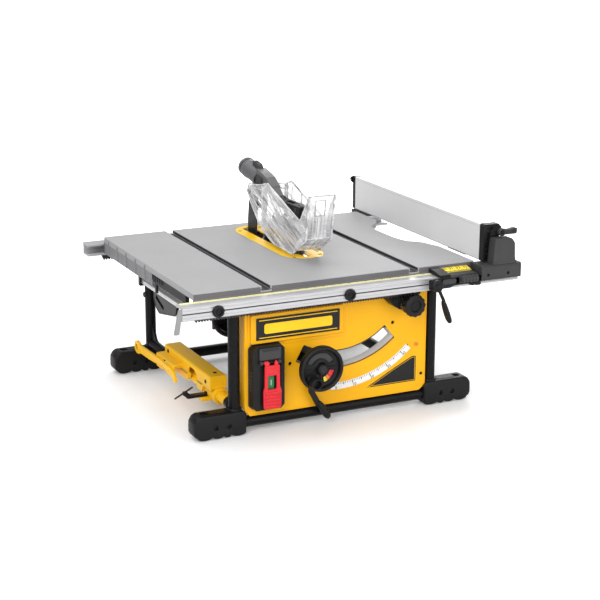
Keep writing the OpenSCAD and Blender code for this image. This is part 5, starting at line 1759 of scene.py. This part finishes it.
def studio_world():
    """White to the camera; to everything else a grey sky with a darker band low down."""
    world = bpy.data.worlds.new("studio")
    bpy.context.scene.world = world
    world.use_nodes = True
    tree = world.node_tree
    camera_ray = add_node(tree, "LightPath", {}).outputs["Is Camera Ray"]
    direction = add_node(tree, "TexCoord", {}).outputs["Generated"]
    height = add_node(tree, "SeparateXYZ", {"Vector": direction}).outputs["Z"]
    band = [(position, (value, value, value * 1.01, 1))
            for position, value in ((0.06, 0.80), (0.12, 0.28), (0.26, 0.30), (0.40, 0.85))]
    sky = ramp(tree, height, (0.0, (0.75, 0.75, 0.76, 1)), *band, (1.0, (0.95, 0.95, 0.96, 1)))
    mix = add_node(tree, "Mix", {"Factor": camera_ray, "A": sky, "B": WHITE}, data_type="RGBA")
    feed(tree, tree.nodes["Background"], {"Color": mix.outputs["Result"], "Strength": 0.62})


def area_light(name, location, target, size, energy):
    """A square light aimed at a target; metres and watts."""
    light = bpy.data.lights.new(name, "AREA")
    light.energy = energy
    light.size = size
    ob = add_object(name, light)
    ob.location = location
    aim = Vector(target) - Vector(location)
    ob.rotation_euler = aim.to_track_quat("-Z", "Y").to_euler()


def studio_lights():
    area_light("key", location=(-1.9, -2.3, 1.9), target=(0, 0, 0.15), size=1.8, energy=62)
    area_light("front_fill", location=(0.9, -3.2, 1.0), target=(0, 0, 0.15), size=2.2, energy=36)
    area_light("top", location=(-0.3, 0.5, 2.8), target=(0, 0, 0.2), size=2.4, energy=44)
    area_light("rim", location=(1.8, 2.2, 1.6), target=(0, 0, 0.3), size=1.6, energy=30)


def studio_camera():
    camera = bpy.data.cameras.new("camera")
    camera.lens = 93.94
    camera.sensor_width = 36
    camera.sensor_height = 36
    camera.sensor_fit = "HORIZONTAL"
    camera.clip_end = 100
    ob = add_object("camera", camera)
    yaw, pitch, roll = radians(25.72), radians(15.58), radians(0.19)
    ob.matrix_world = (
        Matrix.Translation((-1.477, -3.14305, 1.1728)) @ Matrix.Rotation(-yaw, 4, "Z")
        @ Matrix.Rotation(pi / 2 - pitch, 4, "X") @ Matrix.Rotation(roll, 4, "Z"))
    scene = bpy.context.scene
    scene.camera = ob
    scene.view_settings.view_transform = "Standard"
    scene.view_settings.look = "None"
    scene.view_settings.exposure = 0.0
    scene.view_settings.gamma = 1.0


for build in (
        table_casting, table_skirt, table_edges, throat_plate, front_panel, name_plate,
        corner_plate, bevel_scale, curved_slot, panel_details, switch_box, start_key,
        stop_paddle, cage, feet, rails, rail_tape, locator_heads, end_stop, scale_cover,
        thumb_roller, window_strip, rail_lock_lever, knob, knob_housing, fence_carrier,
        fence_posts, fence_beam, fence_head, front_latch, fence_tail, rear_latch, tube_cap,
        handwheel, crank_grip, bevel_lever, drive, motor_ribs, guard_duct, guard_fork,
        guard_cheeks, guard_pin, shields, storage_bracket, storage_wing, wrenches, push_stick,
        mitre_gauge, mains_cord, finish_remaining_nodes, studio_floor, studio_world,
        studio_lights, studio_camera):
    build()
